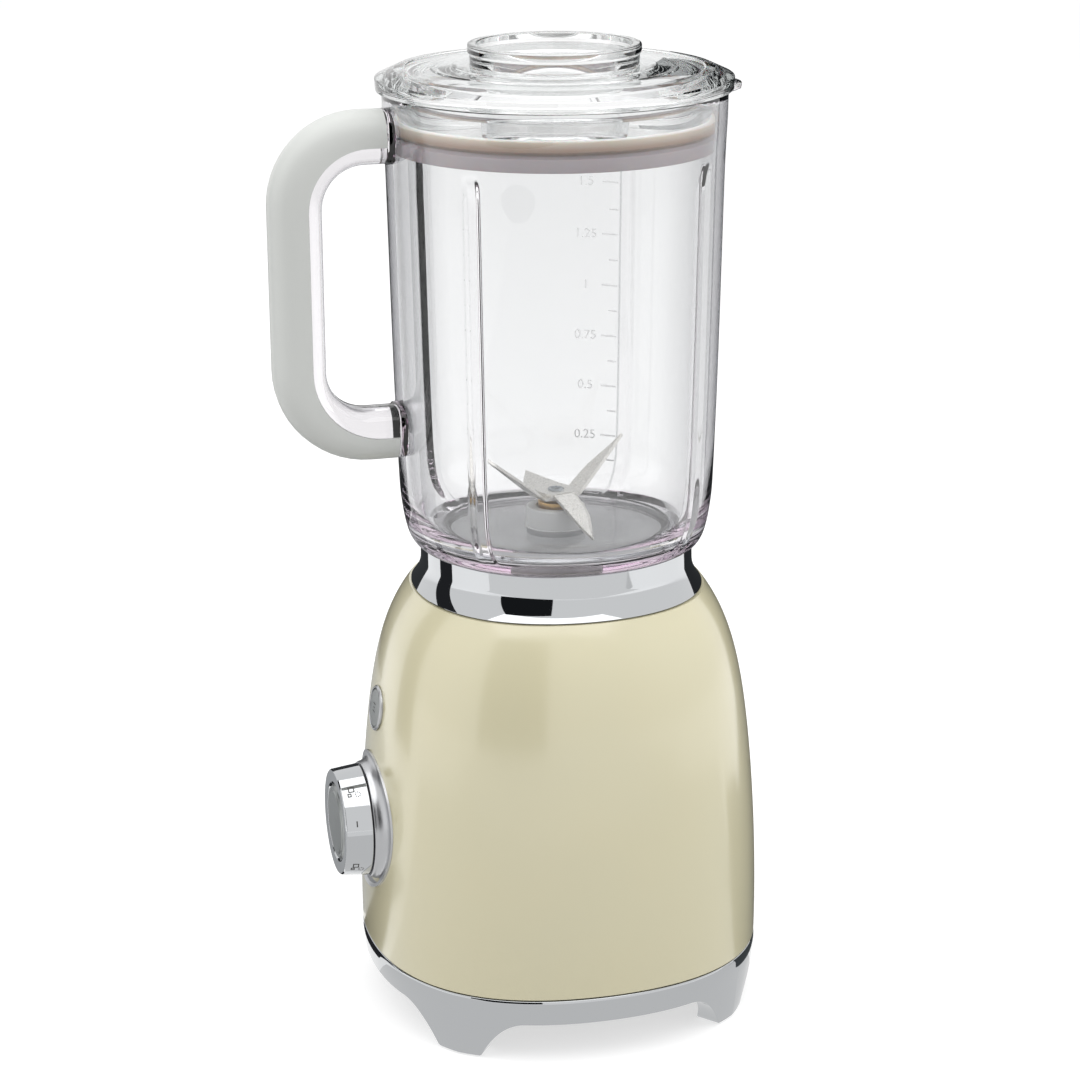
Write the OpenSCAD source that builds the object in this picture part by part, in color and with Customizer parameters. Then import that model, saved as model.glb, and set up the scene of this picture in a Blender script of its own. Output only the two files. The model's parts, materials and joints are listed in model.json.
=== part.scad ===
// Countertop blender: motor base with knob and pulse button, lift-off jug, lid and measuring cap.
// Z is up. The knob and the jug's handle face -Y. The origin is the middle of the footprint,
// at table level.

/* [Base] */
// Half the width of the painted housing at its widest
housing_half = 81.4; // [80:0.1:83]
// How far the housing narrows at its top
housing_taper = 21.8; // [20:0.1:23]
// How much further the rounded corners reach than the flats, as a share
corner_bulge = 0.05; // [0.03:0.01:0.06]
// Wall of the die-cast housing
housing_wall = 2.6; // [2:0.1:3]
// Width of each foot where it meets the table
foot_width = 19; // [17:1:21]

/* [Controls] */
// Radius of the knob's front face
knob_r = 21.2; // [20:0.1:22]
// Height of the knob's axis above the table
knob_z = 82; // [80:1:84]
// Distance of the knob's front face from the drive axis
knob_front = 94.8; // [93:0.1:96]
// Radius of the pulse button
button_r = 8.0; // [7:0.1:8.2]
// Height of the pulse button's axis above the table
button_z = 130; // [128:1:132]
// Travel of the pulse button
button_travel = 2; // [1:0.1:2]

/* [Jug] */
// Half the width of the jug below its lid
jug_half = 66.6; // [66:0.1:67]
// Wall of the jug
jug_wall = 3.0; // [2.6:0.1:3.2]
// Depth of the four ribs inside the jug
rib_depth = 3.6; // [2:0.1:4]
// Distance of the handle's outer edge from the drive axis
handle_reach = 114.8; // [112:0.1:116]
// Width of the handle's grip across the hand
grip_width = 22; // [20:1:24]

/* [Drive] */
// Radius of the motor shaft and of the blade shaft
shaft_r = 4; // [3.5:0.1:4]
// Clearance between a shaft and its bearing, on the radius
running_gap = 0.05; // [0.03:0.01:0.08]
// Outer radius of the stator stack
stator_r = 40; // [38:1:41]
// Reach of the blade wings from the axis
blade_reach = 31; // [28:1:32]

/* [Hidden] */
$fn = 48;

// Heights
foot_bottom_z = 0.8;
pad_top_z = 2.6;
ring_bottom_z = 17.4;
bearing_low_z = 51;
bearing_high_z = 140.4;
inlet_z = 46;
stator_bottom_z = 80;
stator_top_z = 116;
housing_bottom_z = 28.8;
housing_widest_z = 44;
housing_top_z = 178.5;
collar_top_z = 196.9;
spigot_top_z = 196.4;
jug_bottom_z = 197.2;
jug_floor_z = 200.2;
jug_top_z = 379.2;
lid_rim_z = 379.6;
lid_top_z = 388.6;
cap_top_z = 397;
carrier_top_z = 209.6;
blade_z = 213.8;
blade_thick = 1.4;

// Places worked out from the driving sizes
inlet_flange = 1.6;
inlet_r = 6.9;
rear_reach = housing_half + inlet_flange;
axis_y = (handle_reach - rear_reach) / 2;
steps = 48;
collar_bore_r = 49;
jug_skirt_r = 48.4;
carrier_r = 12;
bushing_r = 6.5;
coupler_z = 180;
board_y = -60;
knob_depth = 11.6;
knob_back = knob_front - knob_depth;
bezel_r = 28.3;
bezel_flare = 5.6;
foot_radius = 76.7;
foot_flare = 19;
pad_r = 4.5;
pin_radius = 47.3;
screw_radius = 31;
screw_hole_r = 2.1;
bearing_r = 11;
armature_r = 23.9;
mount_radius = 44;
mount_angle = 52;
base_screw_radius = 62;
button_tilt = 8;
button_depth = housing_at(button_z);
switch_depth = (button_depth + board_y - 3) / cos(button_tilt);
stem_end = 1.6 + button_travel - switch_depth;

// ---------- sections and lofts ----------

// Radius of a rounded-square outline in direction t
function outline_r(half, bulge, t) = half * (1 + bulge * (1 - cos(4 * t)) / 2);

// One ring of points from a section [height, half width, bulge, rib depth]
function ring_points(s, angles) = [
    for (t = angles) let (r = outline_r(s[1], s[2], t) - rib_height(s[3], t))
        [r * cos(t), r * sin(t), s[0]]
];

// A rib stands on each corner, about 7 mm wide at its foot
function rib_height(depth, t) = abs(abs(t % 90) - 45) < 2.5 ? depth : 0;

// Half width of the housing at height z
function housing_at(z) = let (t = (z - housing_widest_z) / (housing_top_z - housing_widest_z))
    housing_half - housing_taper * (0.55 * pow(t, 2) + 0.45 * pow(t, 8));

// The corners round off towards the top
function bulge_at(z) = let (t = (z - housing_bottom_z) / (housing_top_z - housing_bottom_z))
    corner_bulge * (1 - 0.3 * t);

function even_angles(n) = [for (i = [0 : n - 1]) i * 360 / n];

// Directions that give the jug's ribs their own points
function rib_angles() = [
    for (q = [0 : 3]) for (t = [0, 9, 18, 27, 36, 41.5, 43.2, 46.8, 48.5, 54, 63, 72, 81]) q * 90 + t
];

housing_heights = [housing_bottom_z, 44, 60, 80, 100, 116, 130, 142, 152, 160, 167, 173, housing_top_z];

function housing_sections() = [for (z = housing_heights) [z, housing_at(z), bulge_at(z), 0]];

// A closed wall: the sections run up the outside and down the inside, and join up
module wall_loft(sections, angles) {
    n = len(angles);
    m = len(sections);
    points = [for (s = sections) each ring_points(s, angles)];
    faces = [
        for (j = [0 : m - 1]) for (i = [0 : n - 1])
            let (up = (j + 1) % m, on = (i + 1) % n,
                a = j * n + i, b = up * n + i, c = up * n + on, d = j * n + on)
                each [[a, b, c], [a, c, d]]
    ];
    polyhedron(points, faces);
}

// A solid block: the sections run up, and both ends are capped
module solid_loft(sections, angles) {
    n = len(angles);
    m = len(sections);
    points = [for (s = sections) each ring_points(s, angles)];
    sides = [
        for (j = [0 : m - 2]) for (i = [0 : n - 1])
            let (on = (i + 1) % n, a = j * n + i, b = a + n, c = (j + 1) * n + on, d = j * n + on)
                each [[a, b, c], [a, c, d]]
    ];
    ends = [[for (i = [0 : n - 1]) i], [for (i = [n - 1 : -1 : 0]) (m - 1) * n + i]];
    polyhedron(points, concat(sides, ends));
}

// Points of an arc in the plane
function arc(x, y, r, from, to, n = 10) = [
    for (i = [0 : n]) let (t = from + (to - from) * i / n) [x + r * cos(t), y + r * sin(t)]
];

module on_axis() translate([0, axis_y, 0]) children();

// A tube or a washer
module tube(outer, inner, low, high) translate([0, 0, low]) difference() {
    cylinder(r = outer, h = high - low);
    translate([0, 0, -1]) cylinder(r = inner, h = high - low + 2);
}

module rod(r, low, high) translate([0, 0, low]) cylinder(r = r, h = high - low);

// Places its children at n even places on a circle, the first at angle start
module around(n, radius, start = 0) for (i = [0 : n - 1])
    rotate([0, 0, start + i * 360 / n]) translate([radius, 0, 0]) children();

// Turns a shape built along +Z so that it points to the front, at height z, starting depth from the axis
module facing_front(z, depth, tilt = 0) translate([0, -depth, z]) rotate([90 - tilt, 0, 0]) children();

// The pulse button's parts are built from the housing's surface outwards
module at_button() on_axis() facing_front(button_z, button_depth, button_tilt) children();

// A round wire wound into an open coil along +Z
module coil(radius, wire, length, turns) {
    per_turn = 12;
    sides = 5;
    n = turns * per_turn;
    points = [
        for (k = [0 : n]) for (i = [0 : sides - 1])
            let (t = k * 360 / per_turn, p = i * 360 / sides, r = radius + wire * cos(p))
                [r * cos(t), r * sin(t), wire + (length - 2 * wire) * k / n + wire * sin(p)]
    ];
    faces = [
        for (k = [0 : n - 1]) for (i = [0 : sides - 1])
            let (on = (i + 1) % sides,
                a = k * sides + i, b = k * sides + on, c = b + sides, d = a + sides)
                each [[a, c, b], [a, d, c]]
    ];
    ends = [[for (i = [0 : sides - 1]) i], [for (i = [sides - 1 : -1 : 0]) n * sides + i]];
    polyhedron(points, concat(faces, ends));
}

// ---------- base: shells ----------

module motor_housing() color("#d8d0b0") on_axis() difference() {
    wall_loft(concat(
        housing_sections(),
        [[housing_top_z, collar_bore_r + 3, 0, 0], [housing_top_z - 3, collar_bore_r + 3, 0, 0]],
        [for (z = [168, 156, 140, 118, 90, 60, housing_bottom_z])
            [z, housing_at(z + 3) - housing_wall, bulge_at(z), 0]]
    ), even_angles(steps));
    facing_front(knob_z, housing_half - 14) cylinder(r = 6, h = 20);
    facing_front(button_z, button_depth, button_tilt) rod(button_r + 0.7, -10, 10);
    translate([0, housing_half - 14, inlet_z]) rotate([-90, 0, 0]) cylinder(r = inlet_r + 0.1, h = 20);
}

module collar() color("#c8ccd0") on_axis() difference() {
    solid_loft([
        for (rise = [0, 1.5, 3.2, 5.2, 8, 12, collar_top_z - housing_top_z])
            [housing_top_z + rise, 54.9 + 4.5 * pow(max(0, 1 - rise / 11), 2.2), 0.03 - 0.0008 * rise, 0]
    ], even_angles(steps));
    rod(collar_bore_r, housing_top_z - 1, collar_top_z + 1);
}

// Outline of a foot, seen from its corner: flat on the table and flaring up into the ring
function foot_outline() = let (
    w = foot_width / 2, high = (ring_bottom_z + 1 - foot_bottom_z) / foot_flare,
    sides = concat(arc(w + foot_flare, 0, foot_flare, 180, 95), arc(-w - foot_flare, 0, foot_flare, 85, 0))
) [for (p = sides) [p[0], foot_bottom_z + p[1] * high]];

module base_ring() color("#c8ccd0") on_axis() {
    wall_loft([
        [ring_bottom_z, 80.6, corner_bulge, 0], [22, 81.3, corner_bulge, 0], [27, 81.3, corner_bulge, 0],
        [housing_bottom_z, 81.0, corner_bulge, 0], [housing_bottom_z, 74, corner_bulge, 0],
        [ring_bottom_z, 72, corner_bulge, 0]
    ], even_angles(steps));
    difference() {
        intersection() {
            wall_loft([
                [foot_bottom_z, 78.0, corner_bulge, 0], [ring_bottom_z, 80.6, corner_bulge, 0],
                [ring_bottom_z, 69, corner_bulge, 0], [foot_bottom_z, 66, corner_bulge, 0]
            ], even_angles(steps));
            for (k = [0 : 3]) rotate([0, 0, 45 + 90 * k]) translate([60, 0, 0])
                rotate([90, 0, 90]) linear_extrude(40) polygon(foot_outline());
        }
        around(4, foot_radius, 45) rod(pad_r, -1, pad_top_z);
    }
    around(4, base_screw_radius, 45) {
        tube(5, 2.15, 23, 31);
        translate([4, -3, 23]) cube([12, 6, 4.5]);
    }
}

module foot_pads() color("#303030") on_axis() around(4, foot_radius, 45) rod(pad_r, 0, pad_top_z);

module bottom_cover() color("#3a3a3a") on_axis() difference() {
    solid_loft([[20, 71.4, corner_bulge, 0], [23, 71.4, corner_bulge, 0]], even_angles(steps));
    for (k = [-4 : 4]) translate([k * 8 - 2, -24, 18]) cube([4, 48, 8]);
    around(4, base_screw_radius, 45) rod(2.2, 18, 26);
}

module base_screws() color("#8a8a8a") on_axis() around(4, base_screw_radius, 45) {
    rod(2.1, 18.6, 30);
    rod(4, 17.6, 20);
}

// Bush for the mains lead, with its flange outside the housing
module cord_inlet() color("#222222") on_axis() translate([0, 0, inlet_z]) rotate([-90, 0, 0])
    difference() {
        union() {
            rod(inlet_r, 70, rear_reach);
            rod(9.5, housing_half, rear_reach);
        }
        rod(3.6, 69, rear_reach + 1);
    }

module jug_seat() color("#2c2c2c") on_axis() difference() {
    union() {
        rod(collar_bore_r + 2.7, 175.6, housing_top_z);
        rod(collar_bore_r - 0.1, housing_top_z, 180);
        rod(26, 162, 175.6);
        around(2, mount_radius, mount_angle) rod(6, 150, 175.8);
        translate([41, -6, 148]) cube([2, 12, 28]);
    }
    rod(22, 165, 190);
    rod(6, 160, 170);
    translate([pin_radius, 0, 0]) rod(1.55, 170, 190);
}

// ---------- base: motor ----------

module upper_bracket() color("#9aa0a6") on_axis() difference() {
    union() {
        rod(16, 139.5, 150);
        rotate([0, 0, mount_angle]) translate([-52, -8, 140]) cube([104, 16, 4]);
        translate([-7, -38, 140.4]) cube([14, 76, 3.2]);
    }
    rod(bearing_r, 139, bearing_high_z + 6.6);
    rod(6, 139, 151);
    around(2, screw_radius, 90) rod(screw_hole_r, 139, 145);
    around(2, mount_radius, mount_angle) rod(3.1, 139, 145);
}

module lower_bracket() color("#9aa0a6") on_axis() difference() {
    union() {
        rod(16, 48, 58);
        translate([-38, -9, 50]) cube([76, 18, 4]);
        translate([-9, -40, 50]) cube([18, 80, 4]);
    }
    rod(bearing_r, bearing_low_z, 59);
    rod(6, 47, 59);
    around(2, screw_radius, 90) rod(screw_hole_r, 49, 55);
}

module upper_bearing() color("#b5652f") on_axis()
    tube(bearing_r, shaft_r + running_gap, bearing_high_z, bearing_high_z + 6.6);

module lower_bearing() color("#b5652f") on_axis()
    tube(bearing_r, shaft_r + running_gap, bearing_low_z, bearing_low_z + 7);

module stator() color("#6b6f76") on_axis() difference() {
    intersection() {
        rod(stator_r, stator_bottom_z, stator_top_z);
        translate([-stator_r, -34, stator_bottom_z - 1]) cube([2 * stator_r, 68, 40]);
    }
    rod(armature_r + 0.7, stator_bottom_z - 1, stator_top_z + 1);
    around(2, screw_radius, 90) rod(screw_hole_r, stator_bottom_z - 1, stator_top_z + 1);
}

// Field coils: two saddles, looped over the ends of the stack
module stator_windings() color("#a5531f") on_axis()
    for (low = [stator_bottom_z - 12, stator_top_z]) intersection() {
        tube(36, 26, low, low + 12);
        for (x = [-48, 8]) translate([x, -20, low - 1]) cube([40, 40, 14]);
    }

module brush_holders() color("#b89a4a") on_axis() around(2, 0) difference() {
    translate([16.4, -5, 54]) cube([17, 10, 13.5]);
    translate([12, -3.2, 59.5]) cube([22, 6.4, 6.5]);
}

module carbon_brushes() color("#1e1e1e") on_axis() around(2, 0)
    translate([11.2, -3, 59.7]) cube([18, 6, 6]);

module motor_screws() color("#8a8a8a") on_axis() around(2, screw_radius, 90) {
    rod(2, 47, 148);
    rod(3.6, 144, 148);
    rod(3.6, 47, 50);
}

module motor_mounts() color("#2a2a2a") on_axis() around(2, mount_radius, mount_angle) {
    rod(3, 136, 150);
    tube(6.5, 3, 144, 150);
    tube(6.5, 3, 135, 140);
}

module air_baffle() color("#3a3a3a") on_axis() difference() {
    solid_loft([[43.5, 76.4, corner_bulge, 0], [46, 76.6, corner_bulge, 0]], even_angles(steps));
    rod(36, 42, 48);
    translate([0, 80, inlet_z]) rotate([90, 0, 0]) cylinder(r = inlet_r + 1.1, h = 24);
}

// ---------- base: electrics ----------

module circuit_board() color("#2f6b3a") on_axis() difference() {
    translate([-26, board_y, 58]) cube([52, 1.6, 84]);
    for (x = [-22, 22]) for (z = [62, 138])
        translate([x, board_y - 1, z]) rotate([-90, 0, 0]) cylinder(r = 1.6, h = 4);
}

module rotary_switch() color("#25282c") on_axis() difference() {
    translate([-12, board_y - 8, knob_z - 12]) cube([24, 8, 24]);
    facing_front(knob_z, -board_y + 3) cylinder(r = 3.05, h = 10);
}

module button_switch() color("#25282c") on_axis() {
    translate([-4, board_y - 3, button_z - 6]) cube([8, 3, 8]);
    facing_front(button_z - 2, -board_y + 3) cylinder(r = 1.4, h = 1);
}

// Drawn at its pressed length, so that the button's travel stays clear of it
module button_spring() color("#c0c4c8") at_button()
    translate([0, 0, 0.8 - switch_depth]) coil(3.3, 0.4, 4.4, 4);

module interlock_switch() color("#25282c") on_axis() translate([43, -6, 148]) cube([9, 12, 8]);

module interlock_spring() color("#c0c4c8") on_axis()
    translate([pin_radius, 0, 156.2]) coil(2.2, 0.35, 7, 4);

// ---------- base: controls ----------

// Flared ring between the knob and the housing; it opens towards the housing like a bell
module knob_bezel() color("#b4b6b8") on_axis() difference() {
    facing_front(knob_z, 0) rotate_extrude() polygon(concat(
        [[6.2, 74], [bezel_r, 74], [bezel_r, knob_back - bezel_flare]],
        arc(bezel_r, knob_back, bezel_flare, 270, 180, 8),
        [[22.6, knob_back], [22.6, knob_back - 0.8], [6.2, knob_back - 0.8]]
    ));
    solid_loft(housing_sections(), even_angles(steps));
}

module button_ring() color("#b4b6b8") at_button() rotate_extrude() polygon([
    [button_r + 0.15, -4], [button_r + 0.6, -4], [button_r + 0.6, 0.3], [button_r + 1.3, 0.3],
    [button_r + 1.3, 0.9], [button_r + 0.9, 1.5], [button_r + 0.15, 1.5]
]);

// The knob with its hollow face, skirt and stem
module knob() color("#c8ccd0") on_axis() facing_front(knob_z, 0) rotate_extrude() polygon(concat(
    [[0, -board_y + 3.4], [3, -board_y + 3.4], [3, knob_back + 1], [knob_r + 0.6, knob_back + 1],
        [knob_r + 1.2, knob_back + 0.4], [knob_r + 2, knob_back + 0.4], [knob_r + 1.6, knob_front - 3]],
    arc(knob_r - 0.2, knob_front - 1.5, 1.5, 0, 90, 6),
    [[15.8, knob_front], [15.8, knob_front - 2], [0, knob_front - 2]]
));

module knob_insert() color("#a4a6a6") on_axis() facing_front(knob_z, 0) rotate_extrude() polygon([
    [0, knob_front - 2], [15.6, knob_front - 2], [15.6, knob_front - 0.6],
    [14.4, knob_front + 0.2], [0, knob_front + 0.2]
]);

// The button and its stem, which stands off the switch by the button's travel
module pulse_button() color("#b4b6b8") at_button() rotate_extrude() polygon([
    [0, stem_end], [2.4, stem_end], [2.4, -3], [button_r, -3],
    [button_r, 0.8], [button_r - 0.8, 1.5], [0, 1.8]
]);

module interlock_pin() color("#e6e6e6") on_axis() translate([pin_radius, 0, 0]) {
    rod(1.5, 170.4, 182.8);
    rod(3, 164, 170.4);
    rod(1.2, 156.6, 164);
}

// ---------- rotor ----------

module motor_shaft() color("#b0b4b8") on_axis() rod(shaft_r, 34, 186);

module armature() color("#7a7e84") on_axis() {
    tube(armature_r, shaft_r, stator_bottom_z, stator_top_z);
    tube(17, shaft_r, stator_top_z, stator_top_z + 10);
    tube(17, shaft_r, stator_bottom_z - 10, stator_bottom_z);
}

module commutator() color("#b06a34") on_axis() difference() {
    tube(11, shaft_r, 58.6, 68);
    around(12, 11) translate([-1, -0.4, 58]) cube([3, 0.8, 11]);
}

module cooling_fan() color("#303438") on_axis() {
    tube(9, shaft_r, 34, 46);
    tube(33, 8, 34, 35.6);
    around(9, 8.6) translate([0, -0.8, 35]) cube([24, 1.6, 10]);
}

// Six driving lugs in a ring, with room between them for the other half's six
module coupler_lugs(start, low, high) around(6, 0, start) intersection() {
    tube(14.6, 10, low, high);
    translate([8, -2.2, low - 1]) cube([10, 4.4, high - low + 2]);
}

module drive_coupler() color("#34383c") on_axis() {
    tube(15, shaft_r, coupler_z - 6, coupler_z);
    coupler_lugs(0, coupler_z - 1, coupler_z + 6);
}

// ---------- jug ----------

// The spigot, the clear body with a rib at each corner, the floor, and the pouring lip
module jug() color("#dcdfe4", 0.4) on_axis() difference() {
    bore = jug_half - jug_wall;
    mouth = jug_half + 0.8;
    union() {
        wall_loft([
            [spigot_top_z, jug_skirt_r - 1.8, 0, 0], [183, jug_skirt_r - 1.8, 0, 0],
            [183, jug_skirt_r, 0, 0], [jug_bottom_z, jug_skirt_r, 0, 0],
            [jug_bottom_z, jug_half - 10.4, 0.01, 0], [198.6, jug_half - 8.4, 0.012, 0],
            [202.4, jug_half - 6.4, 0.015, 0], [208, jug_half - 5.1, 0.015, 0],
            [215, jug_half - 3.9, 0.015, 0], [240, jug_half - 2.9, 0.015, 0],
            [290, jug_half - 1.5, 0.015, 0], [340, jug_half - 0.5, 0.015, 0],
            [356, jug_half, 0.015, 0], [jug_top_z, mouth, 0.012, 0],
            [jug_top_z, mouth - jug_wall, 0.012, 0], [356, bore, 0.015, 0],
            [354, bore, 0.015, 0.4], [349, bore - 0.2, 0.015, rib_depth],
            [290, bore - 1.5, 0.015, rib_depth], [230, bore - 3.2, 0.015, rib_depth],
            [212, bore - 4.6, 0.015, rib_depth], [204, bore - 8, 0.015, rib_depth],
            [jug_floor_z, bore - 12, 0, 0], [jug_floor_z, 10, 0, 0], [spigot_top_z, 10, 0, 0]
        ], rib_angles());
        translate([-9, 65, 374.8]) cube([18, 10.6, jug_top_z - 374.8]);
    }
    rod(13, 190, 204);
}

// Edge of the handle from its top root round to its bottom root: [distance from axis, height]
function handle_edge(reach, top, bottom, r_top, r_bottom, root_top, root_bottom) = concat(
    [[-root_top, top]],
    arc(-reach + r_top, top - r_top, r_top, 90, 180),
    arc(-reach + r_bottom, bottom + r_bottom, r_bottom, 180, 270),
    [[-root_bottom, bottom]]
);

function backwards(list) = [for (i = [len(list) - 1 : -1 : 0]) list[i]];

// Where the grip's shell ends and the clear core begins
function grip_split(root) = handle_edge(handle_reach - 14.3, 360.9, 246, 24, 28, root, root);

// Extrudes an outline drawn in the plane of the handle
module handle_slab(width, outline) translate([width / 2, 0, 0]) rotate([90, 0, -90])
    linear_extrude(width) polygon([for (p = outline) [-p[0], p[1]]]);

module handle_core() color("#dcdfe4", 0.5) on_axis() union() {
    handle_slab(grip_width - 4, concat(grip_split(66.4),
        backwards(handle_edge(handle_reach - 20.9, 353.4, 257, 16.5, 16, 66.4, 66.0))));
    translate([-grip_width / 2, -69.2, 352.6]) cube([grip_width, 3.2, 22]);
    translate([-grip_width / 2, -66.6, 236]) cube([grip_width, 3.2, 22]);
}

module handle_grip() color("#c9cbc8") on_axis()
    handle_slab(grip_width, concat(handle_edge(handle_reach, 374.4, 235.8, 36, 38, 69.4, 66.8),
        backwards(grip_split(69.4))));

module blade_carrier() color("#9c9ea0") on_axis() difference() {
    union() {
        rod(carrier_r, 190, carrier_top_z);
        rod(17, jug_floor_z + 1, 203.4);
    }
    rod(bushing_r, 189, carrier_top_z + 1);
}

module carrier_gasket() color("#e8e8e8") on_axis()
    tube(17, carrier_r, jug_floor_z, jug_floor_z + 1);

// Screwed base ring that clamps the blade unit and closes the jug below its clear floor
module carrier_nut() color("#a4a6a8") on_axis()
    tube(45.8, carrier_r, 191.6, spigot_top_z);

module blade_bushing() color("#b08d4f") on_axis() difference() {
    union() {
        rod(bushing_r, 192, carrier_top_z);
        rod(bushing_r + 0.9, carrier_top_z, 212.4);
    }
    rod(shaft_r + running_gap, 191, 213);
}

module shaft_seal() color("#1c1c1c") on_axis() tube(bushing_r, shaft_r + running_gap, 190, 192);

// ---------- blades ----------

module blade_shaft() color("#b8bcc0") on_axis() {
    rod(shaft_r, 188, 213.4);
    rod(5.6, 212.8, blade_z);
}

// A wing, bent at its fold by angle up; positive lifts its tip
module wing(fold, angle, reach, root_half, tip_half) translate([fold, 0, 0]) rotate([0, -angle, 0])
    linear_extrude(blade_thick) polygon([
        [-0.4, -root_half], [reach * 0.55, -root_half * 0.9], [reach, -tip_half], [reach - 3, tip_half],
        [reach * 0.5, root_half * 0.85], [-0.4, root_half]
    ]);

module lower_blade() color("#c9c9c6") on_axis() translate([0, 0, blade_z]) rotate([0, 0, 110]) {
    rod(6.6, 0, blade_thick);
    for (side = [0, 180]) rotate([0, 0, side]) translate([0, -5.6, 0]) cube([9.2, 11.2, blade_thick]);
    wing(9, 42, blade_reach, 5.2, 1);
    rotate([0, 0, 180]) wing(9, 40, blade_reach - 1, 5.2, 1);
}

module upper_blade() color("#cfcfcc") on_axis() translate([0, 0, blade_z + blade_thick])
    rotate([0, 0, 15]) {
    rod(8, 0, blade_thick);
    wing(7, -27, blade_reach - 2, 5.8, 1);
    rotate([0, 0, 180]) wing(7, 1, blade_reach - 8, 6.4, 1);
}

module blade_bolt() color("#9a9a98") on_axis() difference() {
    rod(3, blade_z + 2 * blade_thick, blade_z + 2 * blade_thick + 0.8);
    rod(1.6, blade_z + 2 * blade_thick + 0.2, blade_z + 10);
}

module jug_coupler() color("#34383c") on_axis() {
    tube(15, shaft_r, 187, 189.6);
    coupler_lugs(30, 181, 188);
}

// ---------- lid ----------

module lid() color("#dcdfe4", 0.5) on_axis() rotate_extrude() polygon(concat(
    [[30.6, 378], [33.4, 378], [33.4, 385.2], [42, 384.4], [52, 383], [58.4, 380.4], [58.4, 358],
        [61.2, 358], [61.2, 361], [59.8, 361], [59.8, 369], [61.2, 369], [62.8, 375],
        [62.8, lid_rim_z], [69, lid_rim_z]],
    arc(68.2, lid_rim_z + 1.8, 1.8, -60, 60, 6),
    [[67.6, lid_rim_z + 4], [52, 386.2], [42, 387.6], [37.6, lid_top_z], [30.6, lid_top_z]]
));

module lid_gasket() color("#b9aaa6") on_axis() rotate_extrude() polygon([
    [59.8, 361], [61.2, 361], [61.2, 357], [63, 356.6], [63, 362], [62, 363.8], [63.2, 368.6],
    [61.4, 369], [59.8, 369]
]);

module measuring_cap() color("#dcdfe4", 0.5) on_axis() rotate_extrude() polygon([
    [0, 370], [26.4, 370], [28.2, 372], [30.2, lid_top_z + 0.2], [33, lid_top_z + 0.2], [33.2, 392.6],
    [33.9, 393.4], [33.9, 396.2], [33.2, cap_top_z], [30.2, cap_top_z], [29.8, 393.6], [27.8, lid_top_z],
    [26, 372.6], [0, 372.6]
]);

motor_housing();
collar();
base_ring();
foot_pads();
bottom_cover();
base_screws();
cord_inlet();
jug_seat();
upper_bracket();
lower_bracket();
upper_bearing();
lower_bearing();
stator();
stator_windings();
brush_holders();
carbon_brushes();
motor_screws();
motor_mounts();
air_baffle();
circuit_board();
rotary_switch();
button_switch();
button_spring();
interlock_switch();
interlock_spring();
knob_bezel();
button_ring();
motor_shaft();
armature();
commutator();
cooling_fan();
drive_coupler();
interlock_pin();
knob();
knob_insert();
pulse_button();
jug();
handle_core();
handle_grip();
blade_carrier();
carrier_gasket();
carrier_nut();
blade_bushing();
shaft_seal();
blade_shaft();
lower_blade();
upper_blade();
blade_bolt();
jug_coupler();
lid();
lid_gasket();
measuring_cap();
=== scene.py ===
import bmesh
import bpy
import json
import math
from mathutils import Matrix, Vector

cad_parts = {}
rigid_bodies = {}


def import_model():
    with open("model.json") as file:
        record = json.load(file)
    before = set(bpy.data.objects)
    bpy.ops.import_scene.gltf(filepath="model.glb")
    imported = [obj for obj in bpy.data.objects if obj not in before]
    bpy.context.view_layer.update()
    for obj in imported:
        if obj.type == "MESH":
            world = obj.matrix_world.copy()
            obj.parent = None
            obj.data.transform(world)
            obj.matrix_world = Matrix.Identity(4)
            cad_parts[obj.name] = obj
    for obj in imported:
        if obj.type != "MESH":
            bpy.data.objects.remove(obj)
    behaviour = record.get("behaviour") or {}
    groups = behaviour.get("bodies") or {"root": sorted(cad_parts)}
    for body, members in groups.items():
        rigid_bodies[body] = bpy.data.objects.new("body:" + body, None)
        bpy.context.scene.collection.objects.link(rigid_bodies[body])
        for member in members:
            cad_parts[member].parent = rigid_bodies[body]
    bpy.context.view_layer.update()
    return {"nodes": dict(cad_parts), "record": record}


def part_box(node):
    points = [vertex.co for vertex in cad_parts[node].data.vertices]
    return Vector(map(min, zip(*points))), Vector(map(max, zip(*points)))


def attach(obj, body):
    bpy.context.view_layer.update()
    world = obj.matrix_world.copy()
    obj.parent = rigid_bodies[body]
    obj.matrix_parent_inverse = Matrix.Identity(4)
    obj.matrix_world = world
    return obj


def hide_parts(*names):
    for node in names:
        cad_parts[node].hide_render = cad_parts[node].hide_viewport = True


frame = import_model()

bl_info = {
    "name": "Countertop Blender",
    "version": (1, 0, 0),
    "blender": (4, 5, 0),
    "location": "3D View > Sidebar > Kitchen",
    "description": "Builds a retro countertop blender round its construction frame",
    "category": "Add Mesh",
}

# ---------------------------------------------------------------------------------------------
# Sizes. Lengths are millimetres from the drive axis and from the table, as a maker would
# measure them; place() turns them into the row frame's metres.
# ---------------------------------------------------------------------------------------------

MM = 0.001


def node_box(name):
    """Lowest and highest corner of a construction node, in millimetres round the drive axis."""
    low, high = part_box(name)
    shift = Vector((0, AXIS_Y, 0))
    return (Vector(low) - shift) / MM, (Vector(high) - shift) / MM


def middle_y(name):
    """Where a node's middle lies from front to back, in the row frame's metres."""
    low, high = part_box(name)
    return (low[1] + high[1]) / 2


AXIS_Y = middle_y("motor_shaft")
HOUSING_LOW, HOUSING_HIGH = node_box("motor_housing")
COLLAR_LOW, COLLAR_HIGH = node_box("collar")
KNOB_LOW, KNOB_HIGH = node_box("knob")
GRIP_LOW, GRIP_HIGH = node_box("handle_grip")
JUG_TOP = node_box("jug")[1].z
LID_BOTTOM = node_box("lid")[0].z
CAP_TOP = node_box("measuring_cap")[1].z

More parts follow.
